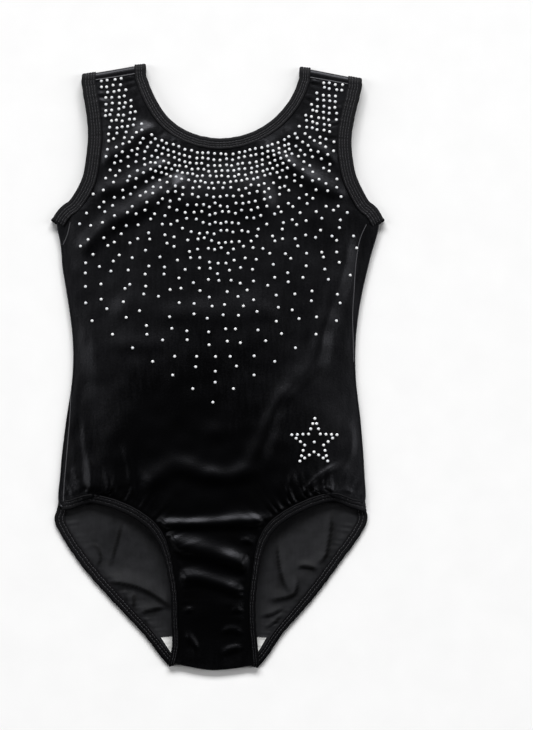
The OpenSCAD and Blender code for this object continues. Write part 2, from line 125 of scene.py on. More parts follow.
# The studio, in metres and watts. The lights are so far away that their light hardly changes over
# the garment. FRAME_MIDDLE and FRAME_HEIGHT are what the camera takes in, halfway up the garment.
LIGHT_DISTANCE = 20.0
LIGHT_RISE = 0.6
KEY_POWER = 23.4
FILL_POWER = 4.8
ROOM_LIGHT = 0.015
FRAME_MIDDLE = (0.0402, 0.0017, 0.006)
FRAME_HEIGHT = 0.6205
CAMERA_RISE = 2.4
FLOOR_HALF = 4.0


def scoop(angle, depth):
    """A point of a neckline's cut edge."""
    a = math.radians(angle)
    return [NECK_R * math.sin(a), NECK_Y - depth * math.cos(a)]


# The right half of each panel is a ladder of rungs from an inner point, on the centre line or
# the neckline, to an outer point, on the leg edge, side seam or armhole.
FRONT_INNER = np.array([
    [0, CROTCH_Y, OVER_Z], [0, -234, OVER_Z + 1], [0, -206, 7.4], [0, -184, 8.8], [0, -158, 10.2],
    [0, -130, LOFT - 0.9], [0, -106, LOFT - 0.3],
    *[[0, y, LOFT] for y in (-86, -62, -42, -18, 8, 36, 66, 94, 120, 142, 160)],
    [0, 176, LOFT - 0.2],
    scoop(0, NECK_R) + [LOFT - 0.6], scoop(22, NECK_R) + [LOFT - 1.6],
    scoop(42, NECK_R) + [LOFT - 3], scoop(60, NECK_R) + [LOFT - 4.2],
    scoop(73, NECK_R) + [STRAP_Z + 0.3], [70, 247.5, STRAP_Z],
])
FRONT_OUTER = np.array([
    [34, -252.5, OVER_Z], [32, -232, OVER_Z + 0.8], [30.2, -206, 6.4], [31.2, -186, 7.4],
    [37.2, -158.4, 8], [50.7, -134.9, 8.2], [75.9, -118.5, 7.4], [104, -110.3, 6],
    [128.5, -117.5, OVER_Z], [129, -88, SEAM_Z + 0.5], [125, -48, SEAM_Z + 0.5],
    [120, -10, SEAM_Z + 0.5], [119.8, 24, SEAM_Z + 0.5], [124, 58, SEAM_Z + 0.5],
    [130.8, 92, SEAM_Z + 0.5], [136.6, 124, OVER_Z], [123.4, 138.5, 5.8],
    [112.8, 158, 7.2], [108.8, 177, 7.6], [107.5, 193, 7.6], [108.5, 207, 7.4],
    [110.5, 219, 7.2], [112.6, 229, 6.9], [113.8, 235, 6.6], [114.8, 240.5, STRAP_Z],
])
FOLD_STEPS = ((254.3, 1), (254.9, 2.5), (254.3, 4))
BACK_INNER = np.array([
    [0, CROTCH_Y, EDGE_Z],
    *[[0, y, FIELD_Z] for y in (-238, -222, -205, -186, -167, -148, -128, -105, -80, -50, -18,
                                15, 48, 80, 104, 122, 136)],
    *[scoop(a, BACK_NECK_DEPTH) + [EDGE_Z] for a in (0, 20, 40, 60, 76)],
    [70, 243, EDGE_Z], [70, 252.2, EDGE_Z],
    *[[70, y, EDGE_Z + up] for y, up in FOLD_STEPS],
    [70, 252.2, STRAP_Z], [70, 248.5, STRAP_Z],
])
BACK_OUTER = np.array([
    *[[x, y, EDGE_Z] for x, y in (
        (34.5, -252.5), (43, -242), (54, -226), (66.4, -212), (81.7, -195), (95.7, -178),
        (108.5, -161), (120.7, -144), (127.6, -128.5))],
    *[[x, y, SEAM_Z - 0.9] for x, y in (
        (130, -105), (127, -65), (121, -22), (119.6, 15), (122.8, 50), (129.4, 86))],
    *[[x, y, EDGE_Z] for x, y in (
        (136.6, 124), (123.4, 138.5), (112.5, 160), (108.4, 180), (107.5, 196),
        (109.2, 212), (111.8, 226), (113.6, 235), (114.4, 238), (114.6, 244.2))],
    *[[114.6, y - 8, EDGE_Z + up] for y, up in FOLD_STEPS],
    [114.6, 244.2, STRAP_Z], [114.8, 241.5, STRAP_Z],
])
FRONT_HIP, FRONT_UNDERARM, FRONT_NECK = 8, 15, 19
FRONT_TOP = len(FRONT_INNER) - 1
BACK_HIP, BACK_UNDERARM, BACK_NECK = 8, 15, 18
BACK_TOP = len(BACK_INNER) - 1
FRONT_FALL, BACK_FALL = 3, 7

# Ridges of the cloth that lies on top: height, half width and the line each one follows.
FRONT_FOLDS = [
    # across the chest
    (3.2, 7.0, [(-108, 150), (-86, 151), (-67, 160), (-49, 169), (-34, 172)]),
    (4.4, 9.0, [(-115, 94), (-101, 112), (-80, 127), (-59, 139), (-37, 153), (-22, 157)]),
    (2.8, 7.0, [(-103, 172), (-82, 183), (-66, 196), (-50, 207)]),
    (3.4, 7.0, [(34, 191), (58, 173), (80, 157), (100, 149), (112, 150)]),
    (2.0, 5.0, [(70, 194), (90, 181), (101, 174), (105, 162)]),
    (5.0, 22.0, [(-52, 146), (-20, 142), (20, 142), (52, 150)]),
    # down the body
    (1.6, 11.0, [(-92, 50), (-40, 46), (10, 45), (58, 50)]),
    (1.2, 8.0, [(-100, 22), (-60, 18), (-30, 20)]),
    (3.5, 9.5, [(-56, -110), (-49, -96), (-28, -86), (-6, -91), (18, -93), (34, -84), (43, -66),
                (56, -30), (84, 0), (92, 30), (106, 76), (112, 116)]),
    (1.2, 10.0, [(-106, 60), (-101, 20), (-98, -20)]),
    (1.1, 9.0, [(-30, -50), (0, -54), (26, -50)]),
    # across the crotch
    (3.6, 5.4, [(-57, -139), (-42, -134), (-5, -133), (32, -131), (56, -130)]),
    (5.2, 8.4, [(-48, -145), (-32, -150), (-8, -157), (14, -163), (38, -175)]),
    (3.8, 6.8, [(-35, -183), (-16, -179), (4, -184), (28, -193)]),
    (1.8, 2.8, [(-31, -208), (-14, -206)]),
    (1.6, 2.6, [(14, -206), (27, -206)]),
    (2.2, 3.2, [(6, -226), (15, -223), (26, -226)]),
    (2.2, 3.4, [(-29, -226), (-21, -231), (-13, -243)]),
    (2.2, 3.4, [(6, -245), (15, -240), (27, -238)]),
    (1.6, 2.8, [(22, -146), (32, -148), (42, -151)]),
    # up from the leg openings
    (1.1, 3.6, [(-111, -38), (-107, -68), (-103, -90), (-98, -112)]),
    (1.2, 3.0, [(-92, -80), (-87, -98), (-82, -115)]),
    (1.1, 3.0, [(-119, -84), (-113, -96)]),
    (1.0, 3.0, [(-76, -60), (-70, -86), (-66, -118)]),
    (1.9, 3.4, [(112, -79), (92, -92), (80, -104), (75, -116)]),
    (1.2, 3.0, [(69, -84), (66, -100), (63, -114)]),
    (1.0, 3.0, [(120, -50), (116, -74), (104, -98)]),
]
# The same for the back's wrong side, which shows in the leg openings. BACK_STEEP makes each of
# these drop steeply on the right of its line.
BACK_FOLDS = [
    (2.4, 8.0, [(-93, -185), (-79, -184), (-62, -188), (-47, -196), (-37, -203), (-30, -207)]),
    (1.9, 6.0, [(-66, -214), (-58, -209), (-48, -206), (-34, -204)]),
    (1.7, 4.5, [(-99, -174), (-93, -165), (-94, -157), (-99, -152), (-106, -156)]),
    (1.6, 9.0, [(-75, -127), (-80, -151), (-86, -174)]),
    (1.2, 3.5, [(-72, -205), (-73, -195), (-74, -188)]),
    (1.4, 3.5, [(-67, -209), (-66, -198), (-67, -189)]),
    (1.0, 3.0, [(-61, -212), (-56, -218), (-54, -225)]),
    (2.2, 6.5, [(86, -171), (97, -162), (100, -151), (102, -137), (102, -121)]),
    (2.0, 5.0, [(70, -173), (76, -170), (85, -171), (93, -175)]),
    (2.2, 7.0, [(42, -199), (58, -197), (69, -193), (72, -183), (71, -172)]),
    (1.8, 6.0, [(55, -145), (55, -166), (59, -184), (68, -195)]),
    (1.7, 4.5, [(36, -213), (50, -210), (61, -203)]),
    (1.4, 4.0, [(42, -223), (52, -217), (60, -208)]),
    (1.4, 6.0, [(-70, -60), (-30, -72), (30, -66), (76, -52)]),
    (1.6, 6.0, [(-84, 40), (-30, 30), (36, 44), (88, 36)]),
]


def along(points, s, neck=None):
    """A smooth curve through points, read at fractional indices. Where the list turns from the
    centre line into a neckline, the curve is smooth with its mirror image instead."""
    s = np.asarray(s, float)
    last = len(points) - 1
    k = np.minimum(np.floor(s).astype(int), last - 1)
    t = (s - k)[..., None]
    a = points[np.maximum(k - 1, 0)]
    b = points[k]
    c = points[k + 1]
    d = points[np.minimum(k + 2, last)]
    if neck is not None:
        a = np.where((k == neck)[..., None], c * (-1, 1, 1), a)
        d = np.where((k == neck - 1)[..., None], 2 * c - b, d)
    return 0.5 * (2 * b + (c - a) * t + (2 * a - 5 * b + 4 * c - d) * t**2
                  + (3 * b - a - 3 * c + d) * t**3)


def on_rung(inner, outer, s, u, fall):
    """Points at u, from 0 to 1, along rungs from inner to outer, rounded off at the crotch. The
    height falls to the outer edge, the later the higher the power fall is."""
    p = inner + (outer - inner) * np.asarray(u, float)[..., None]
    p[..., 1] -= CROTCH_ROUND * 4 * u * (1 - u) * (1 - smooth(s))
    p[..., 2] = outer[..., 2] + (inner[..., 2] - outer[..., 2]) * (1 - u**fall)
    return p


def front_inner(s):
    """The front's centre line and neckline at rung s."""
    return along(FRONT_INNER, s, FRONT_NECK)


def back_inner(s):
    """The back's centre line and neckline at rung s."""
    return along(BACK_INNER, s, BACK_NECK)


def front_point(s, u):
    """A place on the smooth front, at rung s and at u from the inner to the outer edge."""
    return on_rung(front_inner(s), along(FRONT_OUTER, s), s, u, FRONT_FALL)


def back_point(s, u):
    """The same for the back, which lies on the floor."""
    p = on_rung(back_inner(s), along(BACK_OUTER, s), s, u, BACK_FALL)
    p[..., 2] = np.maximum(p[..., 2], FIELD_Z)
    return p


def smooth(x):
    """Eases from 0 to 1."""
    x = np.clip(x, 0, 1)
    return x * x * (3 - 2 * x)


def arc_of(points):
    """How far along a line each of its points is."""
    return np.concatenate([[0], np.cumsum(np.linalg.norm(np.diff(points, axis=0), axis=1))])


def waves(x, y, pitch, seed):
    """Smooth seeded noise over the plane, about from -1 to 1, with features a pitch wide."""
    rng = np.random.default_rng(seed)
    total = np.zeros_like(np.asarray(x, float))
    count = 9
    for _ in range(count):
        angle = rng.uniform(0, math.tau)
        k = math.tau / (pitch * rng.uniform(1.4, 3.2))
        phase = rng.uniform(0, math.tau)
        total += np.sin(k * (np.cos(angle) * x + np.sin(angle) * y) + phase)
    return total / math.sqrt(count)


def from_line(x, y, line):
    """How far each place is from a line, how far along it is, the line's length, and whether the
    place is on its right."""
    steps = np.hypot(*np.diff(line, axis=0).T)
    starts = np.concatenate([[0], np.cumsum(steps)])
    best = np.full_like(x, 1e9)
    place = np.zeros_like(x)
    right = np.zeros(x.shape, bool)
    for a, b, step, start in zip(line, line[1:], steps, starts):
        along_x, along_y = (b - a) / step
        t = np.clip((x - a[0]) * along_x + (y - a[1]) * along_y, 0, step)
        d = np.hypot(x - a[0] - t * along_x, y - a[1] - t * along_y)
        nearer = d < best
        best = np.where(nearer, d, best)
        place = np.where(nearer, start + t, place)
        right = np.where(nearer, (x - a[0]) * along_y > (y - a[1]) * along_x, right)
    return best, place, starts[-1], right


def from_fold(x, y, line):
    """The same for a smooth curve through a fold's points, and how much of the fold is left
    towards its ends."""
    line = np.array(line, float)
    line = along(line, np.linspace(0, len(line) - 1, (len(line) - 1) * 5 + 1))
    best, place, length, right = from_line(x, y, line)
    taper = min(16, length * 0.38)
    return best, place, right, smooth(place / taper) * smooth((length - place) / taper)


def fold_height(x, y, folds, steep):
    """The height that a list of ridges adds at each place. A ridge is narrower by the factor
    steep on the right of its line."""
    total = np.zeros_like(x)
    for number, (height, width, line) in enumerate(folds):
        best, place, right, ends = from_fold(x, y, line)
        wobble = 1 + 0.12 * np.sin(place / 9.0 + number) + 0.07 * np.sin(place / 4.1 + 2 * number)
        w = width * np.where(right, steep, 1) * (1 + 0.14 * np.sin(place / 13.0 + 3 * number))
        trough = 0.2 * np.exp(-(best / (2.2 * w)) ** 2)
        total += height * ends * wobble * (np.exp(-(best / w) ** 2) - trough)
    return total


def crease_shade_of(x, y, folds):
    """How much painted shade each place gets along the back's folds, from 0 to 1: a fine dark
    line on the right of each fold and a soft fade of shade beyond it."""
    total = np.zeros_like(x)
    for height, width, line in folds:
        best, _, right, ends = from_fold(x, y, line)
        fine = np.exp(-((best - 0.6) / 1.3) ** 2)
        soft = 0.42 * np.exp(-(best / (1.3 * width)) ** 2)
        across = np.where(right, np.maximum(fine, soft), fine**2)
        total = np.maximum(total, min(height / 2, 1) * ends * across)
    return total


def gathers(arc, seed):
    """The wave that a stretched elastic leaves along an edge, about from -1 to 1."""
    swell = 0.62 + 0.38 * np.sin(arc / 17.0 + seed)
    total = 0
    for share, pitch, shift in ((0.6, 6.1, 1.0), (0.45, 4.3, 2.1), (0.35, 10.7, 0.7)):
        total = total + share * np.sin(arc * math.tau / pitch + shift * seed)
    return swell * total


# Where the garment was nudged as it was laid down: place, reach and shift along each axis.
NUDGES = [
    (-112, -168, 34, -2.8, 0.0), (112, -160, 34, -0.8, 0.0), (40, -190, 38, 3.0, 0.0),
    (-36, -240, 24, 1.2, 0.0), (38, -245, 24, 1.6, 0.0), (-100, -112, 22, 0.0, -1.4),
    (118, 140, 34, 2.2, 0.0), (-110, 150, 22, 1.6, 0.0), (-60, 232, 22, 1.6, 1.6),
    (-133, 108, 14, 1.8, 0.0), (-125, 65, 40, -1.4, 0.0), (118, -20, 60, 1.2, 0.0),
    (-132, -131, 12, -1.7, 0.0), (132, -131, 12, 0.8, 0.0), (-30, -256, 22, 0.0, 1.3),
]
# The front of the crotch lies a little to the right of the back.
FRONT_NUDGE = (-30, -238, 18, 2.2)


def lay(p):
    """The small lean of the garment as it was laid down, applied to millimetre points."""
    p = np.array(p, float)
    x, y = p[..., 0].copy(), p[..., 1].copy()
    p[..., 0] = x - 4.8 + 0.0174 * y + 4.7e-5 * y * y
    p[..., 1] = y - 0.016 * x * smooth((y - 120) / 110)

    def near(at_x, at_y, reach):
        return np.exp(-((x - at_x) ** 2 + (y - at_y) ** 2) / reach**2)

    for at_x, at_y, reach, shift_x, shift_y in NUDGES:
        p[..., 0] += shift_x * near(at_x, at_y, reach)
        p[..., 1] += shift_y * near(at_x, at_y, reach)
    at_x, at_y, reach, shift_x = FRONT_NUDGE
    p[..., 0] += shift_x * near(at_x, at_y, reach) * smooth((p[..., 2] - EDGE_Z) / BINDING_H)
    return p


def normals_of(rows):
    """Upward normals of a grid of points."""
    across = np.gradient(rows, axis=1)
    up = np.gradient(rows, axis=0)
    n = np.cross(across, up)
    return n / np.maximum(np.linalg.norm(n, axis=-1, keepdims=True), 1e-9)


def make_mesh(name, points, faces, materials, face_materials=None, smooth_shaded=True, uvs=None,
              crease_shades=None):
    """A mesh object from millimetre points."""
    mesh = bpy.data.meshes.new(name)
    mesh.from_pydata((np.asarray(points) * MM).tolist(), [], [list(map(int, f)) for f in faces])
    for material in materials:
        mesh.materials.append(material)
    if face_materials is not None:
        mesh.polygons.foreach_set("material_index", np.asarray(face_materials, np.int32))
    mesh.polygons.foreach_set("use_smooth", [smooth_shaded] * len(mesh.polygons))
    if uvs is not None:
        layer = mesh.uv_layers.new(name="weave")
        loops = np.zeros(len(mesh.loops), np.int32)
        mesh.loops.foreach_get("vertex_index", loops)
        layer.data.foreach_set("uv", np.asarray(uvs, np.float32)[loops].ravel())
    # Painted shade for the folds, one value for each point, which the knit material reads.
    if crease_shades is not None:
        mesh.attributes.new("crease_shade", "FLOAT", "POINT").data.foreach_set("value", crease_shades)
    mesh.update()
    obj = bpy.data.objects.new(name, mesh)
    bpy.context.scene.collection.objects.link(obj)
    return obj


def finished(obj, slot, *nodes):
    """Rides a piece on the body and hides the CAD nodes that it replaces. The slot is not used."""
    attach(obj, BODY)
    if nodes:
        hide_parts(*nodes)
    return obj


# ---------------------------------------------------------------- materials
def new_material(name):
    """A material and its node tree."""
    material = bpy.data.materials.new(name)
    material.use_nodes = True
    return material, material.node_tree


def fill_inputs(tree, node, inputs):
    """Links each input to another node's output, or sets it to a constant."""
    for name, value in inputs.items():
        if isinstance(value, bpy.types.NodeSocket):
            tree.links.new(value, node.inputs[name])
        else:
            node.inputs[name].default_value = value


def finish_shader(tree, inputs):
    """Fills the inputs of a material's shader."""
    fill_inputs(tree, tree.nodes["Principled BSDF"], inputs)


def add_node(tree, kind, inputs, output, **settings):
    """The output of a new node with these inputs and settings."""
    node = tree.nodes.new("ShaderNode" + kind)
    for name, value in settings.items():
        setattr(node, name, value)
    fill_inputs(tree, node, inputs)
    return node.outputs[output]


def place_of(tree, stretch=(1, 1, 1), shift=(0, 0, 0)):
    """The piece's own coordinates, in metres, stretched along each axis and then shifted."""
    own = add_node(tree, "TexCoord", {}, "Object")
    inputs = {"Vector": own, "Scale": stretch, "Location": shift}
    return add_node(tree, "Mapping", inputs, "Vector")


def woven_place(tree):
    """Coordinates along and across a binding, in millimetres, from its mesh."""
    return add_node(tree, "UVMap", {}, "UV", uv_map="weave")


def noise_of(tree, place, scale, detail=2.0, roughness=0.5):
    """Soft noise, from 0 to 1."""
    inputs = {"Vector": place, "Scale": scale, "Detail": detail, "Roughness": roughness}
    return add_node(tree, "TexNoise", inputs, "Fac")


def bands_of(tree, place, scale, direction, distortion):
    """Parallel bands, from 0 to 1."""
    inputs = {"Vector": place, "Scale": scale, "Distortion": distortion}
    return add_node(tree, "TexWave", inputs, "Fac", bands_direction=direction)


def patch_of(tree, x, y, half_width, half_height):
    """A soft patch: 1 at its middle, falling to 0 at its rim."""
    shift = (-x / half_width, -y / half_height, 0)
    place = place_of(tree, (1 / half_width, 1 / half_height, 1 / half_width), shift)
    return add_node(tree, "TexGradient", {"Vector": place}, "Fac", gradient_type="SPHERICAL")


def range_of(tree, factor, low, high):
    """A factor from 0 to 1, turned into the range from low to high."""
    inputs = {"Value": factor, "To Min": low, "To Max": high}
    return add_node(tree, "MapRange", inputs, "Result")


def math_of(tree, operation, a, b):
    """One operation on two values, each a node's output or a number."""
    return add_node(tree, "Math", {0: a, 1: b}, "Value", operation=operation)


def mix_of(tree, a, share_a, b, share_b):
    """A weighted sum of two factors."""
    return math_of(tree, "ADD", math_of(tree, "MULTIPLY", a, share_a),
                   math_of(tree, "MULTIPLY", b, share_b))


def less_of(tree, a, b, share_b):
    """A factor less a share of another one."""
    return math_of(tree, "SUBTRACT", a, math_of(tree, "MULTIPLY", b, share_b))


def ramp_of(tree, factor, stops):
    """A colour that changes with a factor, from a list of (position, colour)."""
    node = tree.nodes.new("ShaderNodeValToRGB")
    ramp = node.color_ramp
    while len(ramp.elements) < len(stops):
        ramp.elements.new(0.5)
    for element, (position, color) in zip(ramp.elements, stops):
        element.position = position
        element.color = (*color, 1.0)
    tree.links.new(factor, node.inputs["Fac"])
    return node.outputs["Color"]


def bump_of(tree, height, distance, strength, under=None):
    """Fine relief, so many metres high, on top of another relief."""
    inputs = {"Height": height, "Distance": distance, "Strength": strength}
    if under is not None:
        inputs["Normal"] = under
    return add_node(tree, "Bump", inputs, "Normal")


def velvet_material():
    """Black stretch velvet: nearly black face on, with a soft grey shine where it slopes towards a
    light. Its tone and shine vary at random with the pile, and painted shade makes them darker and
    duller over the belly than towards the chest and the hips."""
    material, tree = new_material("velvet")
    place = place_of(tree)
    pile = noise_of(tree, place, 2600, 3, 0.6)
    nap = noise_of(tree, place, 700, 2, 0.7)
    crushed = noise_of(tree, place, 55, 3, 0.55)
    brushed = noise_of(tree, place, 11, 2, 0.5)
    strokes = noise_of(tree, place_of(tree, (1, 0.12, 1)), 420, 2, 0.6)
    # Painted shade: the belly patch darkens the colour and weakens the shine over the belly.
    pile_and_painted_shade = less_of(tree, range_of(tree, brushed, 0.1, 1.1), patch_of(tree, *BELLY_SHADE_PATCH), 1.6)
    for unevenness, amount in ((crushed, 0.2), (strokes, 0.3), (nap, 0.4)):
        pile_and_painted_shade = math_of(tree, "ADD", pile_and_painted_shade, range_of(tree, unevenness, -amount, amount))
    dark, light = (0.0003, 0.0003, 0.0004), (0.0024, 0.0024, 0.0029)
    soft = bump_of(tree, nap, 0.00022, 0.6, bump_of(tree, crushed, 0.00035, 0.5))
    finish_shader(tree, {
        "Base Color": ramp_of(tree, pile_and_painted_shade, [(0.1, dark), (0.9, light)]),
        "Roughness": range_of(tree, pile_and_painted_shade, 0.35, 0.43),
        "Specular IOR Level": range_of(tree, pile_and_painted_shade, 0.14, 0.32),
        "Specular Tint": (0.9, 0.91, 1.0, 1.0),
        "Sheen Weight": 0.009,
        "Sheen Roughness": 0.35,
        "Sheen Tint": (0.82, 0.86, 1.0, 1.0),
        "Normal": bump_of(tree, pile, 0.00006, 0.6, soft),
    })
    return material


def knit_material(name, dark, light, roughness, specular=0.2, wale=0.55):
    """Fine knit: wales along Y, each so many millimetres wide, and courses along X. Where the mesh
    holds painted shade for its folds, the colour is darker and the shine weaker."""
    material, tree = new_material(name)
    place = place_of(tree)
    mottle = noise_of(tree, place, 140, 3)
    millimetre_bands = math.tau / 40 / MM
    wales = bands_of(tree, place, millimetre_bands / wale, "X", 0.4)
    courses = bands_of(tree, place, millimetre_bands / (wale * 0.8), "Y", 0.6)
    knit = math_of(tree, "MULTIPLY", wales, courses)
    # Painted shade along the folds: the mesh's value darkens the colour and weakens the shine.
    crease_shade = add_node(tree, "Attribute", {}, "Fac", attribute_name="crease_shade")
    shade = less_of(tree, mix_of(tree, mottle, 0.7, knit, 0.3), crease_shade, 0.5)
    crease_shade_colour = tuple(channel * 0.15 for channel in dark)
    finish_shader(tree, {
        "Base Color": ramp_of(tree, shade, [(0.0, crease_shade_colour), (0.3, dark), (0.75, light)]),
        "Roughness": range_of(tree, mottle, roughness - 0.06, roughness + 0.06),
        "Specular IOR Level": range_of(tree, crease_shade, specular, specular * 0.25),
        "Sheen Weight": 0.02,
        "Sheen Roughness": 0.5,
        "Normal": bump_of(tree, knit, 0.00012, 0.6),
    })
    return material


def binding_material():
    """Black stretch knit binding: fine ribs run along it. Painted shade makes it darker and duller
    near the crotch.
    """
    material, tree = new_material("binding_knit")
    place = woven_place(tree)
    ribs = bands_of(tree, place, 0.42, "Y", 0.3)
    courses = bands_of(tree, place, 0.5, "X", 0.8)
    fuzz = noise_of(tree, place, 0.9, 4, 0.6)
    knit = mix_of(tree, ribs, 0.6, courses, 0.4)
    # Painted shade: darker and duller towards the crotch.
    crotch = patch_of(tree, *CROTCH_SHADE_PATCH)
    shade = less_of(tree, mix_of(tree, knit, 0.4, fuzz, 0.6), crotch, 0.3)
    dark, light = (0.0014, 0.0014, 0.0017), (0.0080, 0.0080, 0.0098)
    finish_shader(tree, {
        "Base Color": ramp_of(tree, shade, [(0.2, dark), (0.8, light)]),
        "Roughness": range_of(tree, fuzz, 0.55, 0.7),
        "Specular IOR Level": range_of(tree, crotch, 0.13, 0.01),
        "Sheen Weight": range_of(tree, crotch, 0.016, 0.0),
        "Sheen Roughness": 0.4,
        "Sheen Tint": (0.85, 0.87, 1.0, 1.0),
        "Normal": bump_of(tree, knit, 0.00015, 0.7),
    })
    return material


def thread_material(name, dark, light):
    """Textured sewing thread with a fine twist, painted darker near the crotch as shade."""
    material, tree = new_material(name)
    twist = bands_of(tree, place_of(tree), 900, "DIAGONAL", 1.5)
    # Painted shade: darker towards the crotch.
    shade = less_of(tree, twist, patch_of(tree, *CROTCH_SHADE_PATCH), 0.7)
    finish_shader(tree, {
        "Base Color": ramp_of(tree, shade, [(0.2, dark), (0.8, light)]),
        "Roughness": range_of(tree, twist, 0.42, 0.58),
        "Sheen Weight": 0.1,
        "Normal": bump_of(tree, twist, 0.00004, 0.6),
    })
    return material


def elastic_material():
    """White flat elastic: ribs along it with a covering yarn across."""
    material, tree = new_material("elastic_braid")
    place = woven_place(tree)
    ribs = bands_of(tree, place, 0.5, "Y", 0.2)
    yarn = bands_of(tree, place, 0.7, "DIAGONAL", 0.6)
    braid = math_of(tree, "MULTIPLY", ribs, yarn)
    finish_shader(tree, {
        "Base Color": ramp_of(tree, braid, [(0.1, (0.5, 0.5, 0.48)), (0.8, (0.74, 0.74, 0.72))]),
        "Roughness": range_of(tree, braid, 0.6, 0.75),
        "Normal": bump_of(tree, braid, 0.0002, 0.7),
    })
    return material


def label_material():
    """Plain white satin ribbon."""
    material, tree = new_material("label_satin")
    place = place_of(tree)
    weft = bands_of(tree, place, 700, "Y", 0.4)
    mottle = noise_of(tree, place, 300, 2)
    satin = math_of(tree, "MULTIPLY", weft, mottle)
    finish_shader(tree, {
        "Base Color": ramp_of(tree, satin, [(0.1, (0.7, 0.7, 0.68)), (0.6, (0.84, 0.84, 0.82))]),
        "Roughness": range_of(tree, mottle, 0.28, 0.42),
        "Normal": bump_of(tree, weft, 0.00004, 0.5),
    })
    return material


def crystal_material():
    """Clear flat-back glass over silver foil, drawn as an opaque stone: its near-white colour is a
    painted reflection of the light that the foil throws back.
    """
    material, tree = new_material("crystal_foil")
    stone = noise_of(tree, place_of(tree), 210, 0)
    finish_shader(tree, {
        "Base Color": ramp_of(tree, stone, [(0.3, (0.84, 0.86, 0.9)), (0.6, (0.97, 0.975, 0.985))]),
        "Roughness": range_of(tree, stone, 0.12, 0.28),
        "Metallic": 0.15,
        "Specular IOR Level": 0.8,
        "Coat Weight": 1.0,
        "Coat Roughness": 0.04,
    })
    return material


def foil_material():
    """The silver foil and glue at a stone's back and girdle."""
    material, tree = new_material("crystal_back")
    grain = noise_of(tree, place_of(tree), 3000, 2)
    finish_shader(tree, {
        "Base Color": ramp_of(tree, grain, [(0.3, (0.35, 0.36, 0.4)), (0.7, (0.55, 0.56, 0.6))]),
        "Roughness": range_of(tree, grain, 0.3, 0.45),
        "Metallic": 0.6,
    })
    return material


# ---------------------------------------------------------------- cloth
def quads(a, b, c, d):
    """Four-sided faces from arrays of the numbers of their corners."""
    return np.stack([a.ravel(), b.ravel(), c.ravel(), d.ravel()], axis=1)


def sheet_of(name, right, left, split, materials, thick, crease_shades=None):
    """A closed thin cloth from two halves, each an array of rows from the inner to the outer end.
    Up to the row split both halves share their inner points. The first material is on top and on
    the cut edges, and the second is underneath. The last argument holds the painted fold shade of
    each point."""
    rows = np.concatenate([left[:, ::-1], right], axis=1)
    count, cols = rows.shape[:2]
    mid = cols // 2 - 1
    n = np.empty_like(rows)
    n[:, :mid + 1] = normals_of(rows[:, :mid + 1])
    n[:, mid + 1:] = normals_of(rows[:, mid + 1:])
    seam = (n[:split + 1, mid] + n[:split + 1, mid + 1]) / 2
    seam /= np.linalg.norm(seam, axis=-1, keepdims=True)
    n[:split + 1, mid] = seam
    n[:split + 1, mid + 1] = seam
    index = np.arange(count * cols).reshape(count, cols)
    index[:split + 1, mid + 1] = index[:split + 1, mid]
    layer = count * cols
    points = np.concatenate([rows + n * thick / 2, rows - n * thick / 2]).reshape(-1, 3)
    strips = np.array([c for c in range(cols - 1) if c != mid])
    low, high = index[:-1], index[1:]
    top = quads(low[:, strips], low[:, strips + 1], high[:, strips + 1], high[:, strips])
    bottom = top[:, ::-1] + layer

    def wall(a, b):
        return quads(a, b, b + layer, a + layer)

    walls = [
        wall(high[:, 0], low[:, 0]),
        wall(low[:, -1], high[:, -1]),
        wall(low[split:, mid], high[split:, mid]),
        wall(high[split:, mid + 1], low[split:, mid + 1]),
        wall(index[0, strips], index[0, strips + 1]),
        wall(index[-1, strips + 1], index[-1, strips]),
    ]
    faces = np.concatenate([top, bottom, *walls])
    kinds = np.zeros(len(faces), int)
    kinds[len(top):len(top) + len(bottom)] = 1
    used = np.unique(faces)
    renumber = np.zeros(len(points), int)
    renumber[used] = np.arange(len(used))
    if crease_shades is not None:
        both = np.concatenate([crease_shades[1][:, ::-1], crease_shades[0]], axis=1)
        crease_shades = np.tile(both.ravel(), 2)[used]
    return make_mesh(name, points[used], renumber[faces], materials, kinds, crease_shades=crease_shades)


def edge_arc(points, top, step=0.05):
    """Arc length along a list's curve, as a function of its index."""
    s = np.arange(0, top + step / 2, step)
    arc = arc_of(along(points, s))
    return lambda at: np.interp(at, s, arc)


FRONT_ARC = edge_arc(FRONT_OUTER, FRONT_TOP)
BACK_ARC = edge_arc(BACK_OUTER, BACK_TOP)
LEG_EDGE = along(FRONT_OUTER, np.linspace(0, FRONT_HIP, 81))[:, :2]


def beside(distance, start, reach):
    """Nothing up to a start, a quick rise and then a slow fade with distance."""
    rise = 3.5
    past = distance - start
    return smooth(past / rise) * np.exp(-np.maximum(past - rise, 0) / reach)


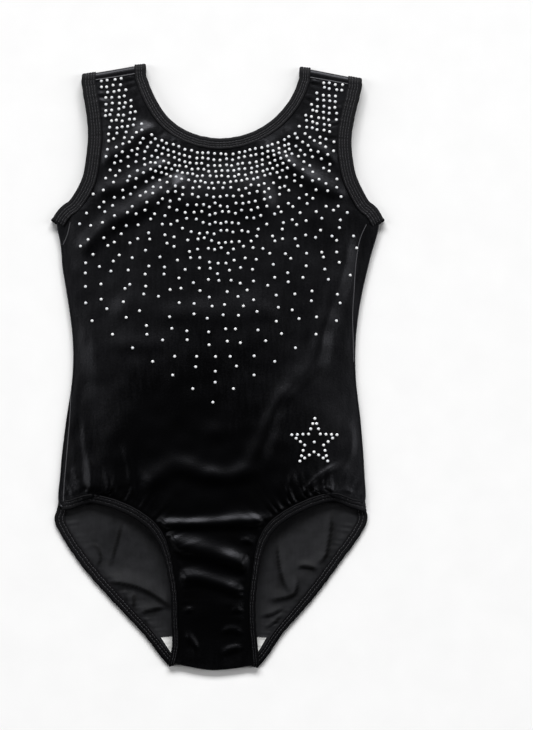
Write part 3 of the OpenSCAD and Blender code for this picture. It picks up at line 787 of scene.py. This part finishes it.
def front_relief(s, u, p, side):
    """How far the front rises from its smooth shape: ridges and a soft unevenness in the field,
    which the bindings hold flat, and gathers beside each elastic. The hips have deeper ones."""
    inner, outer = front_inner(s), along(FRONT_OUTER, s)
    to_outer = (1 - u) * np.linalg.norm(outer - inner, axis=-1)
    x, y = p[..., 0] * side, p[..., 1]
    to_leg, place, length, _ = from_line(p[..., 0], y, LEG_EDGE)
    to_neck = np.hypot(x, y - NECK_Y) - NECK_R
    to_end = y - CROTCH_Y
    bound = 4 + 3.5 * smooth(s - FRONT_UNDERARM)
    held = smooth((np.minimum(to_outer, to_leg) - bound) / 7) * smooth((to_neck - 5) / 8)
    held *= smooth((to_end - 2) / 8)
    relief = held * fold_height(x, y, FRONT_FOLDS, FRONT_STEEP)
    relief += held * (0.55 * waves(x, y, 30, 3) + 0.22 * waves(x, y, 12, 5))
    before_hip = smooth((length - place) / 8)
    leg = smooth(place / 12) * before_hip * (0.3 + 0.7 * smooth((place - 80) / 60))
    leg *= GATHER_DEPTH * (1.1 + 0.15 * side)
    relief += leg * beside(to_leg, 4.2, 9) * gathers(place, 4.0 + side)
    hip = smooth((place - 115) / 25) * before_hip * (1.25 + 0.75 * side)
    relief += hip * beside(to_leg, 4.2, 2.4) * np.maximum(gathers(1.2 * place, 1.0), -0.1)
    arm = smooth((s - FRONT_UNDERARM) / 0.6) * smooth((FRONT_TOP - s) / 1.0)
    relief += arm * beside(to_outer, 7.5, 6) * 0.45 * gathers(FRONT_ARC(s), 7.0 + side)
    around = np.arctan2(x, NECK_Y - y) * NECK_R
    relief += 0.4 * beside(to_neck, 5, 6) * gathers(around, 2.0) * smooth((s - 16) / 1)
    return relief


def back_relief(s, u, p, side):
    """The same for the back, where nothing goes below the floor."""
    inner, outer = back_inner(s), along(BACK_OUTER, s)
    to_outer = (1 - u) * np.linalg.norm(outer - inner, axis=-1)
    x, y = p[..., 0] * side, p[..., 1]
    to_neck = np.hypot(x * BACK_NECK_DEPTH / NECK_R, y - NECK_Y) - BACK_NECK_DEPTH
    to_end = y - CROTCH_Y
    held = smooth((to_outer - 3) / 8) * smooth((to_neck - 3) / 8) * smooth((to_end - 5) / 8)
    relief = held * np.maximum(BACK_FOLD_GAIN * fold_height(x, y, BACK_FOLDS, BACK_STEEP), -0.1)
    relief += held * 0.35 * (1 + waves(x, y, 26, 11))
    leg = smooth((BACK_HIP + 0.3 - s) / 0.5) * smooth(s / 0.5)
    relief += leg * beside(to_outer, 3.5, 5) * 0.3 * (1 + gathers(BACK_ARC(s), 5.0 + side))
    return relief * (s < BACK_NECK + 3)


def curled(half):
    """A half with rows before its first one that turn the cloth under, down to the back's edge."""
    first = half[0]
    rows = []
    for t in np.linspace(1, 0, CURL_ROWS + 1)[:-1]:
        row = first.copy()
        row[:, 1] -= CURL_OUT * math.sin(math.pi * t)
        row[:, 2] += (EDGE_Z + CLOTH_T - first[:, 2]) * (1 - math.cos(math.pi * t)) / 2
        rows.append(row)
    return np.concatenate([np.array(rows), half])


def panel(point, relief, spans, cols, neck):
    """The right and left halves of a panel as rows of points, before the garment is laid down, and
    the row where the neck parts them. Each span of rungs has its own count of rows per rung."""
    s = np.concatenate([np.arange(start * fine, end * fine) / fine for start, end, fine in spans]
                       + [[spans[-1][1]]])
    u = np.linspace(0, 1, cols)
    s2, u2 = np.meshgrid(s, u, indexing="ij")
    halves = []
    for side in (1, -1):
        p = point(s2, u2)
        p[..., 2] += relief(s2, u2, p, side)
        p[..., 0] *= side
        halves.append(p)
    return halves, int(np.searchsorted(s, neck - 1e-6))


def make_front(velvet, wrong_side):
    """The front cloth, with its velvet up and its crotch end turned under."""
    spans = ((0, 4, 14), (4, 9, 22), (9, FRONT_TOP, 9))
    halves, split = panel(front_point, front_relief, spans, 66, FRONT_NECK)
    right, left = [curled(lay(half)) for half in halves]
    cloth = sheet_of("front_cloth", right, left, split + CURL_ROWS, [velvet, wrong_side], CLOTH_T)
    return finished(cloth, "velvet", "front_panel")


def make_back(velvet, wrong_side):
    """The back lies face down, so its velvet is the underside until it turns over the shoulder."""
    spans = ((0, 9, 15), (9, BACK_TOP, 6))
    halves, split = panel(back_point, back_relief, spans, 70, BACK_NECK)
    # Painted shade along the back's folds, one value for each point.
    crease_shades = [crease_shade_of(half[..., 0], half[..., 1], BACK_FOLDS) for half in halves]
    right, left = [lay(half) for half in halves]
    cloth = sheet_of("back_cloth", right, left, split, [wrong_side, velvet], CLOTH_T, crease_shades)
    return finished(cloth, "velvet", "back_panel")


# ---------------------------------------------------------------- strips along the edges
def level(v):
    """A vector's direction over the floor."""
    v = np.array([v[0], v[1], 0.0])
    return v / np.linalg.norm(v)


def into_cloth(point, s):
    """The direction from a panel's outer edge into its cloth, up its slope."""
    edge = point(np.float64(s), np.float64(1))
    middle = point(np.float64(s), np.float64(0))
    near = point(np.float64(s), np.float64(1 - SLOPE_REACH / np.linalg.norm(middle - edge)))
    return (near - edge) / np.linalg.norm(near - edge)


# Places on the front near the turn of the leg opening, to read its height from.
TURN_RUNGS = np.linspace(LEG_TURN, FRONT_HIP + 2.5, 120)
TURN_PLACES = np.meshgrid(TURN_RUNGS, np.linspace(0.5, 1, 160), indexing="ij")
TURN = front_point(*TURN_PLACES).reshape(-1, 3)


def front_edge(s):
    """A place on the front's outer edge and the way into its cloth. Where the leg opening turns
    along the rungs, the way points up the body instead of along them."""
    edge = front_point(np.float64(s), np.float64(1))
    if not LEG_TURN < s < FRONT_HIP:
        return edge, into_cloth(front_point, s)
    near = np.argmin(np.hypot(*(TURN[:, :2] - edge[:2] - TURN_SPAN * TURN_WAY).T))
    return edge, np.array([*TURN_WAY, (TURN[near, 2] - edge[2]) / TURN_SPAN])


def back_edge(s):
    """The same on the back's outer edge."""
    return back_point(np.float64(s), np.float64(1)), into_cloth(back_point, s)


# At the hip the leg binding comes from under the front, and the front's end laps over it. Each
# list has the binding's places and the ways into its cloth.
HIP_BACK_START = [
    (np.array([126.0, -113, EDGE_Z]), np.array([-1, 0.05, 0])),
    (np.array([126.2, -118, EDGE_Z]), np.array([-1, 0.08, 0])),
    (np.array([126.7, -123.4, EDGE_Z]), np.array([-1, 0.1, 0])),
]
HIP_FRONT_END = {
    "right": [
        (np.array([123.4, -116.9, OVER_Z + 0.3]), np.array([-0.2, 0.98, 0.05])),
        (np.array([126.8, -118.2, OVER_Z - 0.3]), np.array([-0.25, 0.95, 0])),
        (np.array([129, -119.2, OVER_Z - 1.4]), np.array([-0.3, 0.93, 0])),
        (np.array([129.8, -119.8, EDGE_Z + 0.4]), np.array([-0.3, 0.93, 0])),
    ],
    "left": [
        (np.array([121, -116.5, OVER_Z + 0.4]), np.array([-0.12, 0.99, 0.05])),
        (np.array([124.5, -117.2, OVER_Z + 0.1]), np.array([-0.12, 0.99, 0])),
        (np.array([126.3, -117.6, OVER_Z - 0.5]), np.array([-0.12, 0.99, 0])),
    ],
}


def fold_between(a, b, way, inwards):
    """The place where a binding folds over from one panel to the other."""
    return [((a[0] + b[0]) / 2 + np.array(way) * FOLD_REACH, np.array(inwards))]


def leg_path(side):
    """From the hip down the back's leg edge, over the crotch and up the front's to the hip."""
    back = [back_edge(s) for s in np.arange(BACK_HIP, -0.25, -0.5)]
    front = [front_edge(s) for s in np.arange(0, FRONT_HIP - 0.25, 0.5)]
    fold = fold_between(back[-1], front[0], (-0.3, -0.95, 0), (-0.9, 0.25, 0))
    return HIP_BACK_START + back + fold + front + HIP_FRONT_END[side]


def armhole_path():
    """From the underarm up the front's armhole, over the strap and down the back's."""
    front = [front_edge(s) for s in np.arange(FRONT_UNDERARM, FRONT_TOP + 0.25, 0.5)]
    back = [back_edge(s) for s in np.arange(BACK_TOP, BACK_UNDERARM - 0.25, -0.5)]
    return front + back + fold_between(back[-1], front[0], (0.8, -0.6, 0), (-0.62, -0.78, 0))


def inner_line(point, rungs):
    """Places on a panel's inner edge."""
    return [point(np.float64(s), np.float64(0)) for s in rungs]


def neck_path():
    """Round the neckline: up the front's right half, over the strap, and back on the left."""
    front = inner_line(front_point, np.arange(FRONT_NECK, FRONT_TOP + 0.25, 0.5))
    back = inner_line(back_point, np.arange(BACK_TOP, BACK_NECK - 0.25, -0.5))
    right = front[1:] + back[:-1]
    left = [p * (-1, 1, 1) for p in reversed(right)]
    return [(p, level(p - (0, NECK_Y, 0))) for p in [front[0], *right, back[-1], *left]]


def resampled(path, pitch, closed):
    """A smooth, evenly spaced path from (point, inwards) pairs: its points, its ways inwards and
    out of the cloth, its arc lengths and whether it is closed."""
    n = len(path)
    order = range(-1, n + 2) if closed else [0, *range(n), n - 1]
    knots = np.array([path[k % n][0] for k in order])
    facing = np.array([path[k % n][1] for k in order], float)
    s = np.linspace(1, n + 1 if closed else n, n * 16 + 1)
    arc = arc_of(along(knots, s))
    count = int(round(arc[-1] / pitch))
    at = np.arange(count if closed else count + 1) * arc[-1] / count
    s = np.interp(at, arc, s)
    p = along(knots, s)
    k = np.minimum(np.floor(s).astype(int), len(knots) - 2)
    t = (s - k)[:, None]
    inward = facing[k] * (1 - t) + facing[k + 1] * t
    tangent = np.roll(p, -1, axis=0) - np.roll(p, 1, axis=0) if closed else np.gradient(p, axis=0)
    tangent /= np.linalg.norm(tangent, axis=1, keepdims=True)
    inward -= (inward * tangent).sum(1, keepdims=True) * tangent
    inward /= np.linalg.norm(inward, axis=1, keepdims=True)
    outward = np.cross(inward, tangent)
    return p, inward, outward, at, closed


def swept(name, frames, section, materials, relief, mirrored, flip):
    """Sweeps a closed section of (inwards, outwards) points along a path. relief(arc, a, b) gives
    a shift at each point of each ring. flip turns outwards round, and mirrored makes the left."""
    p, inward, outward, arc, closed = frames
    hand = -1 if flip else 1
    section = np.array(section, float)
    if flip:
        section = section[::-1] * (1, -1)
    m, n = len(section), len(p)
    a = np.repeat(section[None, :, 0], n, axis=0)
    b = np.repeat(section[None, :, 1], n, axis=0)
    if relief is not None:
        da, db = relief(arc[:, None], a, b * hand)
        a = a + da
        b = b + db * hand
    rings = p[:, None] + inward[:, None] * a[..., None] + outward[:, None] * b[..., None]
    if mirrored:
        rings = rings * (-1, 1, 1)
    rings = lay(rings)
    k, j = np.meshgrid(np.arange(n if closed else n - 1), np.arange(m), indexing="ij")
    k2, j2 = (k + 1) % n, (j + 1) % m
    faces = quads(k * m + j, k2 * m + j, k2 * m + j2, k * m + j2).tolist()
    if not closed:
        faces += [list(range(m)), list(range(n * m - 1, n * m - m - 1, -1))]
    if not mirrored:
        faces = [face[::-1] for face in faces]
    uvs = np.stack([np.broadcast_to(arc[:, None], (n, m)),
                    np.broadcast_to(arc_of(section), (n, m))], axis=-1)
    return make_mesh(name, rings.reshape(-1, 3), faces, materials, uvs=uvs.reshape(-1, 2))


def turned_over(outline):
    """The other side of an outline of (inwards, outwards) points, walked back."""
    return [(a, -b) for a, b in reversed(outline)]


def ribbon_section():
    """The flat elastic in a binding's fold, with its edges rounded off."""
    start = BINDING_T + 0.15 - BINDING_OUT
    end = start + ELASTIC_W
    half = ELASTIC_T / 2
    upper = [(start, half * 0.6), (start + 0.4, half), (end - 0.4, half), (end, half * 0.6)]
    return upper + turned_over(upper)


def fold_section(width, rows):
    """The folded binding: a crowned outside that dips at each row of stitches, a round fold and
    the inside that holds the cloth and the elastic."""
    inner = width - BINDING_OUT
    h = BINDING_H / 2
    top = []
    for a in np.arange(inner, -BINDING_OUT + h * 0.9, -0.55):
        press = sum(math.exp(-((a - row) / 0.45) ** 2) for row in rows)
        crown = h + 0.15 - 0.42 * press
        near = max(0.0, 1 - (inner - a) / 0.8)
        top.append((a, crown - 0.35 * near))
    turn = [(-BINDING_OUT + h * 0.9 * (1 - math.cos(t)), h * math.sin(t))
            for t in np.linspace(1.25, -1.25, 7)]
    g = h - BINDING_T
    lower = [(inner - 0.2, -g + 0.2), (inner * 0.4, -g), (-BINDING_OUT + 2.2, -g),
             (-BINDING_OUT + 1.0, -g * 0.5)]
    inside = [*lower, (-BINDING_OUT + 0.8, 0), *turned_over(lower)]
    return top + turn + turned_over(top) + inside


def binding_relief(frames, depth, seed):
    """Gathers of a binding: it ripples up and down, its long edges stray a little, and a leg
    binding is stretched narrower at the crotch, most of all on the front."""
    p, arc = frames[0], frames[3]
    upper = smooth((p[:, 2] - EDGE_Z) / BINDING_H)
    slim = CROTCH_NARROWING[0] * smooth((-190 - p[:, 1]) / 40) * (1 - upper)
    slim += CROTCH_NARROWING[1] * smooth((-135 - p[:, 1]) / 40) * upper

    def relief(at, a, b):
        wave = gathers(at, seed)
        away = a + BINDING_OUT
        stray = 0.22 * gathers(at * 0.55, seed + 1) - np.interp(at, arc, slim) * away
        return stray, depth * wave * away / 8 + 0.08 * np.sin(at * 2.4) * np.sign(b)
    return relief


def tube_faces(rings, sides):
    """The faces of a tube from its rings of points, with both ends capped."""
    faces = []
    for k in range(rings - 1):
        for j in range(sides):
            near = k * sides + j
            beyond = k * sides + (j + 1) % sides
            faces.append([near, beyond, beyond + sides, near + sides])
    faces.append(list(range(sides))[::-1])
    faces.append(list(range((rings - 1) * sides, rings * sides)))
    return faces


def rounds_of(centre, across, up, radii, sides):
    """Round rings of points about each centre."""
    turn = np.linspace(0, math.tau, sides, endpoint=False)[None, :, None]
    return centre[:, None] + radii * (across[:, None] * np.cos(turn) + up[:, None] * np.sin(turn))


def columns_at(where, arc, table, period=None):
    """Each of a table's three columns, read at places along an arc."""
    return np.stack([np.interp(where, arc, table[:, c], period=period) for c in range(3)], axis=-1)


def stitch_row(frames, offset, height, relief, mirrored, flip):
    """Straight stitches end to end: short threads that dip into the cloth at both ends."""
    p, inward, outward, arc, closed = frames
    total = arc[-1] + (arc[1] - arc[0] if closed else 0)
    count = int(total / (STITCH_LENGTH + STITCH_GAP))
    pitch = total / count
    period = total if closed else None
    sides = 6
    rings = []
    for place, lift, size in STITCH_PROFILE:
        where = np.arange(count) * pitch + pitch / 2 + place * STITCH_LENGTH
        centre, i, o = [columns_at(where, arc, table, period) for table in (p, inward, outward)]
        a = np.full(count, offset)
        b = np.full(count, height)
        da, db = relief(where, a, b)
        rise = (b + db + STITCH_R * lift) * (-1 if flip else 1)
        centre = centre + i * (a + da)[:, None] + o * rise[:, None]
        rings.append(rounds_of(centre, i, o, STITCH_R * size, sides))
    rings = np.stack(rings, axis=1)
    if mirrored:
        rings = rings * (-1, 1, 1)
    one = tube_faces(len(STITCH_PROFILE), sides)
    step = len(STITCH_PROFILE) * sides
    faces = [[v + stitch * step for v in face] for stitch in range(count) for face in one]
    return lay(rings).reshape(-1, 3), faces


def joined(name, parts, materials):
    """One mesh from several (points, faces) pairs."""
    points = []
    faces = []
    offset = 0
    for part_points, part_faces in parts:
        points.append(part_points)
        faces.extend([[v + offset for v in face] for face in part_faces])
        offset += len(part_points)
    obj = make_mesh(name, np.concatenate(points), faces, materials)
    fix = bmesh.new()
    fix.from_mesh(obj.data)
    bmesh.ops.recalc_face_normals(fix, faces=fix.faces)
    fix.to_mesh(obj.data)
    fix.free()
    return obj


def make_edge(kind, path, sides, materials):
    """A binding with its elastic and its cover stitching, on one or both sides of the garment."""
    binding_knit, elastic_braid, thread = materials
    width, rows, depth, seed = BINDINGS[kind]
    frames = resampled(path, RING_PITCH, kind != "leg")
    flip = kind == "neck"
    relief = binding_relief(frames, depth, seed)
    fold = fold_section(width, rows)
    ribbon = ribbon_section()
    surface = BINDING_H / 2 - STITCH_SINK
    for side in sides:
        mirrored = side == "left"
        tail = "" if side == "" else "_" + side
        name = f"{kind}_binding_folded{tail}"
        binding = swept(name, frames, fold, [binding_knit], relief, mirrored, flip)
        finished(binding, "binding", f"{kind}_binding{tail}")
        name = f"{kind}_elastic_braid{tail}"
        elastic = swept(name, frames, ribbon, [elastic_braid], None, mirrored, flip)
        finished(elastic, "elastic", f"{kind}_elastic{tail}")
        parts = [stitch_row(frames, row, height, relief, mirrored, flip)
                 for row in rows for height in (surface, -surface)]
        stitches = joined(f"{kind}_cover_stitch{tail}", parts, [thread])
        finished(stitches, "thread", f"{kind}_topstitch{tail}")


# ---------------------------------------------------------------- stones
def islands_of(cad):
    """The middles, in millimetres, of the separate solids in a CAD node."""
    mesh = bmesh.new()
    mesh.from_mesh(cad.data)
    bmesh.ops.remove_doubles(mesh, verts=mesh.verts, dist=0.00002)
    seen = set()
    middles = []
    for first in mesh.verts:
        if first in seen:
            continue
        seen.add(first)
        stack = [first]
        low = Vector(first.co)
        high = Vector(first.co)
        while stack:
            vertex = stack.pop()
            for axis in range(3):
                low[axis] = min(low[axis], vertex.co[axis])
                high[axis] = max(high[axis], vertex.co[axis])
            for edge in vertex.link_edges:
                other = edge.other_vert(vertex)
                if other not in seen:
                    seen.add(other)
                    stack.append(other)
        middles.append(np.array((low + high) / 2) / MM)
    mesh.free()
    return middles


def stone_shape(turn):
    """A flat-back stone: a table, two crown facets for each of its sides and a short girdle, with
    the girdle and the back in the second material."""
    n = STONE_SIDES
    points = []
    for radius, height, offset in ((0.56, 1.0, 0.0), (1.0, 0.34, 0.5), (1.0, 0.0, 0.5)):
        r = STONE_R * radius
        for j in range(n):
            angle = turn + (j + offset) * math.tau / n
            points.append((r * math.cos(angle), r * math.sin(angle), STONE_H * height))
    faces = [list(range(n))]
    kinds = [0]
    for j in range(n):
        k = (j + 1) % n
        faces += [[j, n + j, k], [k, n + j, n + k], [n + j, 2 * n + j, 2 * n + k, n + k]]
        kinds += [0, 0, 1]
    faces.append(list(range(3 * n - 1, 2 * n - 1, -1)))
    kinds.append(1)
    return np.array(points), faces, kinds


def below(surface, x, y):
    """The place on the cloth straight below a point, and the way the cloth faces there."""
    return surface.ray_cast(Vector((x, y, RAY_TOP)) * MM, Vector((0, 0, -1)))[:2]


def make_stones(node, cad, surface, materials, seed):
    """Sets one faceted stone on the finished cloth for each stone of a CAD node."""
    rng = np.random.default_rng(seed)
    all_points = []
    all_faces = []
    all_kinds = []
    for number, middle in enumerate(islands_of(cad)):
        x, y, _ = lay(middle)
        hit, normal = below(surface, x, y)
        points, faces, kinds = stone_shape(rng.uniform(0, math.tau))
        tilt = Vector((rng.normal(0, 0.05), rng.normal(0, 0.05), 1))
        turn = (normal + tilt).to_track_quat("Z", "Y").to_matrix()
        seat = np.array(hit) / MM - np.array(normal) * STONE_SINK
        all_points.append(points @ np.array(turn).T + seat)
        all_faces += [[v + number * len(points) for v in face] for face in faces]
        all_kinds += kinds
    name = node.replace("crystals", "stones")
    obj = make_mesh(name, np.concatenate(all_points), all_faces, materials, all_kinds, False)
    return finished(obj, "crystal", node)


# ---------------------------------------------------------------- seams, lining and label
def tube_along(line, radius, sides=6):
    """A round thread along an open line of millimetre points, capped at both ends."""
    line = np.asarray(line, float)
    tangent = np.gradient(line, axis=0)
    tangent /= np.linalg.norm(tangent, axis=1, keepdims=True)
    side = np.cross(tangent, (0.05, 0.1, 1.0))
    side /= np.linalg.norm(side, axis=1, keepdims=True)
    up = np.cross(side, tangent)
    rings = rounds_of(line, side, up, radius, sides)
    return rings.reshape(-1, 3), tube_faces(len(line), sides)


def overlock(line, inwards, width):
    """Overlock stitching on a seam allowance: two needle threads on each of its faces and loops
    that wrap its edge."""
    arc = arc_of(line)
    count = int(arc[-1] / OVERLOCK_PITCH)
    where = np.linspace(0, arc[-1], count * 8 + 1)
    centre = columns_at(where, arc, line)
    reach = columns_at(where, arc, inwards)
    turn = where / OVERLOCK_PITCH * math.tau
    loop = centre + reach * (width * (0.52 + 0.48 * np.cos(turn)))[:, None]
    loop[:, 2] += 0.5 * np.sin(turn) + 0.1
    parts = [tube_along(loop, OVERLOCK_R, 5)]
    for offset in (0.1, 0.5):
        for up in (0.45, -0.3):
            row = centre + reach * width * offset
            row[:, 2] += up
            parts.append(tube_along(row[::3], OVERLOCK_R, 5))
    return parts


def allowance(line, inwards, width):
    """The strip of cloth that the overlock holds."""
    half = ALLOWANCE_T / 2
    corners = []
    for across, up in ((0, half), (width, half), (width, -half), (0, -half)):
        row = line + inwards * across
        row[:, 2] += up
        corners.append(row)
    return np.stack(corners, axis=1).reshape(-1, 3), tube_faces(len(line), len(corners))


def make_seam(name, node, line, inwards, width, thread, mirrored=False, extra=()):
    """A seam allowance with its overlock, and any extra (points, faces) that are laid already."""
    if mirrored:
        line = line * (-1, 1, 1)
        inwards = inwards * (-1, 1, 1)
    parts = [allowance(line, inwards, width), *overlock(line, inwards, width)]
    parts = [(lay(points), faces) for points, faces in parts]
    obj = joined(name, [*parts, *extra], [thread])
    return finished(obj, "thread", node)


def welt_on(surface, line):
    """A welt along a smooth line of places on the finished front cloth."""
    line = np.array([[x, y, 0.0] for x, y in line])
    line = along(line, np.linspace(0, len(line) - 1, (len(line) - 1) * 14 + 1))
    laid = []
    for x, y, _ in lay(line):
        hit = below(surface, x, y)[0]
        if hit is not None:
            laid.append(np.array(hit) / MM - (0, 0, WELT_SINK))
    return tube_along(laid, WELT_R)


# Where the side seams show on the front, because the back wraps round before it is sewn.
SEAM_ON_FRONT = {
    "right": [
        [(125.5, 121), (121, 108), (118.8, 88), (118, 66), (117, 44), (117.6, 22), (118.2, 4)],
    ],
    "left": [
        [(-121, -10), (-121.5, -40), (-123.5, -70), (-125.5, -96), (-126, -108), (-126, -114)],
        [(-125, 123), (-127.5, 114), (-131.5, 104)],
    ],
}


def make_side_seams(surface, thread):
    """The side seams between the panels, with the welts that show on the front."""
    s = np.arange(FRONT_HIP + 0.5, FRONT_UNDERARM - 0.4, 0.1)
    line = front_point(s, np.ones_like(s))
    line[:, 2] = SEAM_Z - 0.2
    line[:, 0] -= 0.6
    inward = np.tile((-1.0, 0, 0), (len(line), 1))
    for side in ("left", "right"):
        welts = [welt_on(surface, places) for places in SEAM_ON_FRONT[side]]
        make_seam(f"side_overlock_{side}", f"side_seam_{side}", line, inward, ALLOWANCE_W, thread,
                  side == "left", welts)


def make_shoulder_seams(thread):
    """The seams across the straps, each with the welt that it raises."""
    a = FRONT_INNER[-1]
    across = FRONT_OUTER[-1] - a
    line = a + across * np.linspace(0.12, 0.88, 40)[:, None]
    line[:, 2] = STRAP_Z - CLOTH_T / 2 - 0.6
    down = np.tile(level([across[1], -across[0]]), (len(line), 1))
    ridge = a + across * np.linspace(0.1, 0.84, 30)[:, None] + (0, 0.5, 0.75)
    for side, sign in (("left", -1), ("right", 1)):
        welt = tube_along(lay(ridge * (sign, 1, 1)), SHOULDER_WELT_R)
        make_seam(f"shoulder_overlock_{side}", f"shoulder_seam_{side}", line, down,
                  ALLOWANCE_W - 1, thread, side == "left", [welt])


def make_crotch_seam(thread):
    """The seam that joins the panels at the bottom, between them."""
    line = np.array([[x, CROTCH_Y + 3.6, (EDGE_Z + OVER_Z) / 2] for x in np.linspace(-29, 29, 40)])
    up = np.tile((0, 1.0, 0), (len(line), 1))
    make_seam("crotch_overlock", "crotch_seam", line, up, ALLOWANCE_W, thread)


def make_lining(white, pale_thread):
    """The gusset's lining, a second layer on the inside of the back, with its stitched top edge."""
    s = np.linspace(*LINING_RUNGS, 40)
    u = np.linspace(0, LINING_REACH, 36)
    s2, u2 = np.meshgrid(s, u, indexing="ij")
    halves = []
    for side in (1, -1):
        p = back_point(s2, u2)
        p[..., 2] += back_relief(s2, u2, p, side) + (CLOTH_T + LINING_T) / 2 + 0.1
        p[..., 2] += 0.12 * waves(p[..., 0] * side, p[..., 1], 7, 21) ** 2
        p[..., 0] *= side
        halves.append(lay(p))
    lining = sheet_of("gusset_lining", *halves, len(s) - 1, [white], LINING_T)
    finished(lining, "lining", "crotch_lining")
    row = back_point(np.full(60, LINING_ROW), np.linspace(0, 0.8, 60))
    row = np.concatenate([row[::-1] * (-1, 1, 1), row[1:]])
    row[:, 2] = CLOTH_T + LINING_T + 0.35
    zigzag = lay(row)
    zigzag[:, 1] += ZIGZAG_REACH * np.where(np.arange(len(zigzag)) % 2 == 0, 1, -1)
    stitches = joined("lining_zigzag", [tube_along(zigzag, ZIGZAG_R, 5)], [pale_thread])
    finished(stitches, "lining_thread", "lining_topstitch")
    return lining


def make_label(satin):
    """A blank ribbon, caught in the side seam and slightly curled."""
    low, high = [np.array(corner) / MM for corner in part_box("care_label")]
    y, t = np.meshgrid(np.linspace(low[1], high[1], 14), np.linspace(0, 1, 24), indexing="ij")
    wave = 0.5 * np.sin(t * 5.0) + 0.15 * np.sin(y * 0.9)
    sheet = np.stack([low[0] + (high[0] - low[0]) * t, y, low[2] + 0.1 + wave * t * 0.8], axis=-1)
    half = normals_of(sheet) * LABEL_T / 2
    points = np.concatenate([sheet + half, sheet - half]).reshape(-1, 3)
    index = np.arange(t.size).reshape(t.shape)
    top = quads(index[:-1, :-1], index[:-1, 1:], index[1:, 1:], index[1:, :-1])
    rim = np.concatenate([index[0], index[1:, -1], index[-1, -2::-1], index[-2:0:-1, 0]])
    following = np.roll(rim, -1)
    walls = quads(following, rim, rim + t.size, following + t.size)
    faces = np.concatenate([top, top[:, ::-1] + t.size, walls])
    obj = make_mesh("blank_label", lay(points), faces, [satin])
    return finished(obj, "label", "care_label")


# ---------------------------------------------------------------- stage, light and camera
def make_stage():
    """A plain pale floor."""
    material, tree = new_material("pale_floor")
    grain = noise_of(tree, place_of(tree), 30, 2)
    finish_shader(tree, {
        "Base Color": ramp_of(tree, grain, [(0.3, (0.86, 0.86, 0.86)), (0.7, (0.88, 0.88, 0.88))]),
        "Roughness": 0.9,
        "Specular IOR Level": 0.1,
    })
    far = FLOOR_HALF / MM
    corners = [(-far, -far, 0), (far, -far, 0), (far, far, 0), (-far, far, 0)]
    floor = make_mesh("floor", corners, [(0, 1, 2, 3)], [material], smooth_shaded=False)


def area_light(name, x, y, size, power):
    """A soft light that shines on the garment. Place and size are in distances, and the power is
    for a distance of a metre."""
    far = LIGHT_DISTANCE
    data = bpy.data.lights.new(name, "AREA")
    data.shape = "RECTANGLE"
    data.size, data.size_y = size[0] * far, size[1] * far
    data.energy = power * far * far
    obj = bpy.data.objects.new(name, data)
    obj.location = (x * far, y * far, LIGHT_RISE * far)
    obj.rotation_euler = (-obj.location).to_track_quat("-Z", "Y").to_euler()
    bpy.context.scene.collection.objects.link(obj)


def make_light():
    """A wide low light past the neck, a weaker one on each side and a dim room."""
    world = bpy.data.worlds.new("dim_room")
    world.use_nodes = True
    background = world.node_tree.nodes["Background"]
    background.inputs["Color"].default_value = (1, 1, 1, 1)
    background.inputs["Strength"].default_value = ROOM_LIGHT
    bpy.context.scene.world = world
    area_light("key_above_neck", 0, 1, (1.1, 0.3), KEY_POWER)
    area_light("fill_left", -1, 0.15, (0.35, 0.9), FILL_POWER)
    area_light("fill_right", 1, 0.15, (0.35, 0.9), FILL_POWER)


def make_camera():
    """Looks straight down on the garment, from far enough to be nearly without perspective."""
    data = bpy.data.cameras.new("camera")
    data.sensor_fit = "VERTICAL"
    data.sensor_height = 24
    data.lens = data.sensor_height * CAMERA_RISE / FRAME_HEIGHT
    data.dof.use_dof = False
    camera = bpy.data.objects.new("camera", data)
    camera.location = Vector(FRAME_MIDDLE) + Vector((0, 0, CAMERA_RISE))
    bpy.context.scene.collection.objects.link(camera)
    bpy.context.scene.camera = camera


# ---------------------------------------------------------------- the scene
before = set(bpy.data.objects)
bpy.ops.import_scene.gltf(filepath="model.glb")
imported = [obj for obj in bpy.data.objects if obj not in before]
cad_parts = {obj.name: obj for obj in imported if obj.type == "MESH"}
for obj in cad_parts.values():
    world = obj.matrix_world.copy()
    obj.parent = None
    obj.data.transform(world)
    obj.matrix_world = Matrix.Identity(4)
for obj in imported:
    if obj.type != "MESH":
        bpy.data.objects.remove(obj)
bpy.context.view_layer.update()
make_camera()
make_stage()
make_light()
bpy.context.scene.view_settings.view_transform = "Standard"

velvet = velvet_material()
wrong_side = knit_material("wrong_side", (0.0055, 0.0057, 0.007), (0.0125, 0.0128, 0.015),
                           0.6, 0.24)
white_knit = knit_material("lining_knit", (0.52, 0.52, 0.51), (0.7, 0.7, 0.69), 0.8)
knit_binding = binding_material()
braid = elastic_material()
black_thread = thread_material("black_thread", (0.02, 0.02, 0.023), (0.06, 0.06, 0.069))
pale_thread = thread_material("pale_thread", (0.45, 0.45, 0.45), (0.62, 0.62, 0.62))
satin = label_material()
crystal = crystal_material()
foil = foil_material()

front = make_front(velvet, wrong_side)
back = make_back(velvet, wrong_side)
lining = make_lining(white_knit, pale_thread)
label = make_label(satin)
edge_materials = (knit_binding, braid, black_thread)
make_edge("neck", neck_path(), ("",), edge_materials)
make_edge("armhole", armhole_path(), ("left", "right"), edge_materials)
for hand in ("left", "right"):
    make_edge("leg", leg_path(hand), (hand,), edge_materials)

bpy.context.view_layer.update()
surface = BVHTree.FromPolygons([v.co.copy() for v in front.data.vertices],
                               [tuple(p.vertices) for p in front.data.polygons])
make_side_seams(surface, black_thread)
make_shoulder_seams(black_thread)
make_crotch_seam(black_thread)
STONES = ["strap_crystals_left", "strap_crystals_right", "neckline_crystals", "chest_crystals",
          "lower_crystals", "emblem_crystals"]
for number, node in enumerate(STONES):
    make_stones(node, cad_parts[node], surface, [crystal, foil], 40 + number)
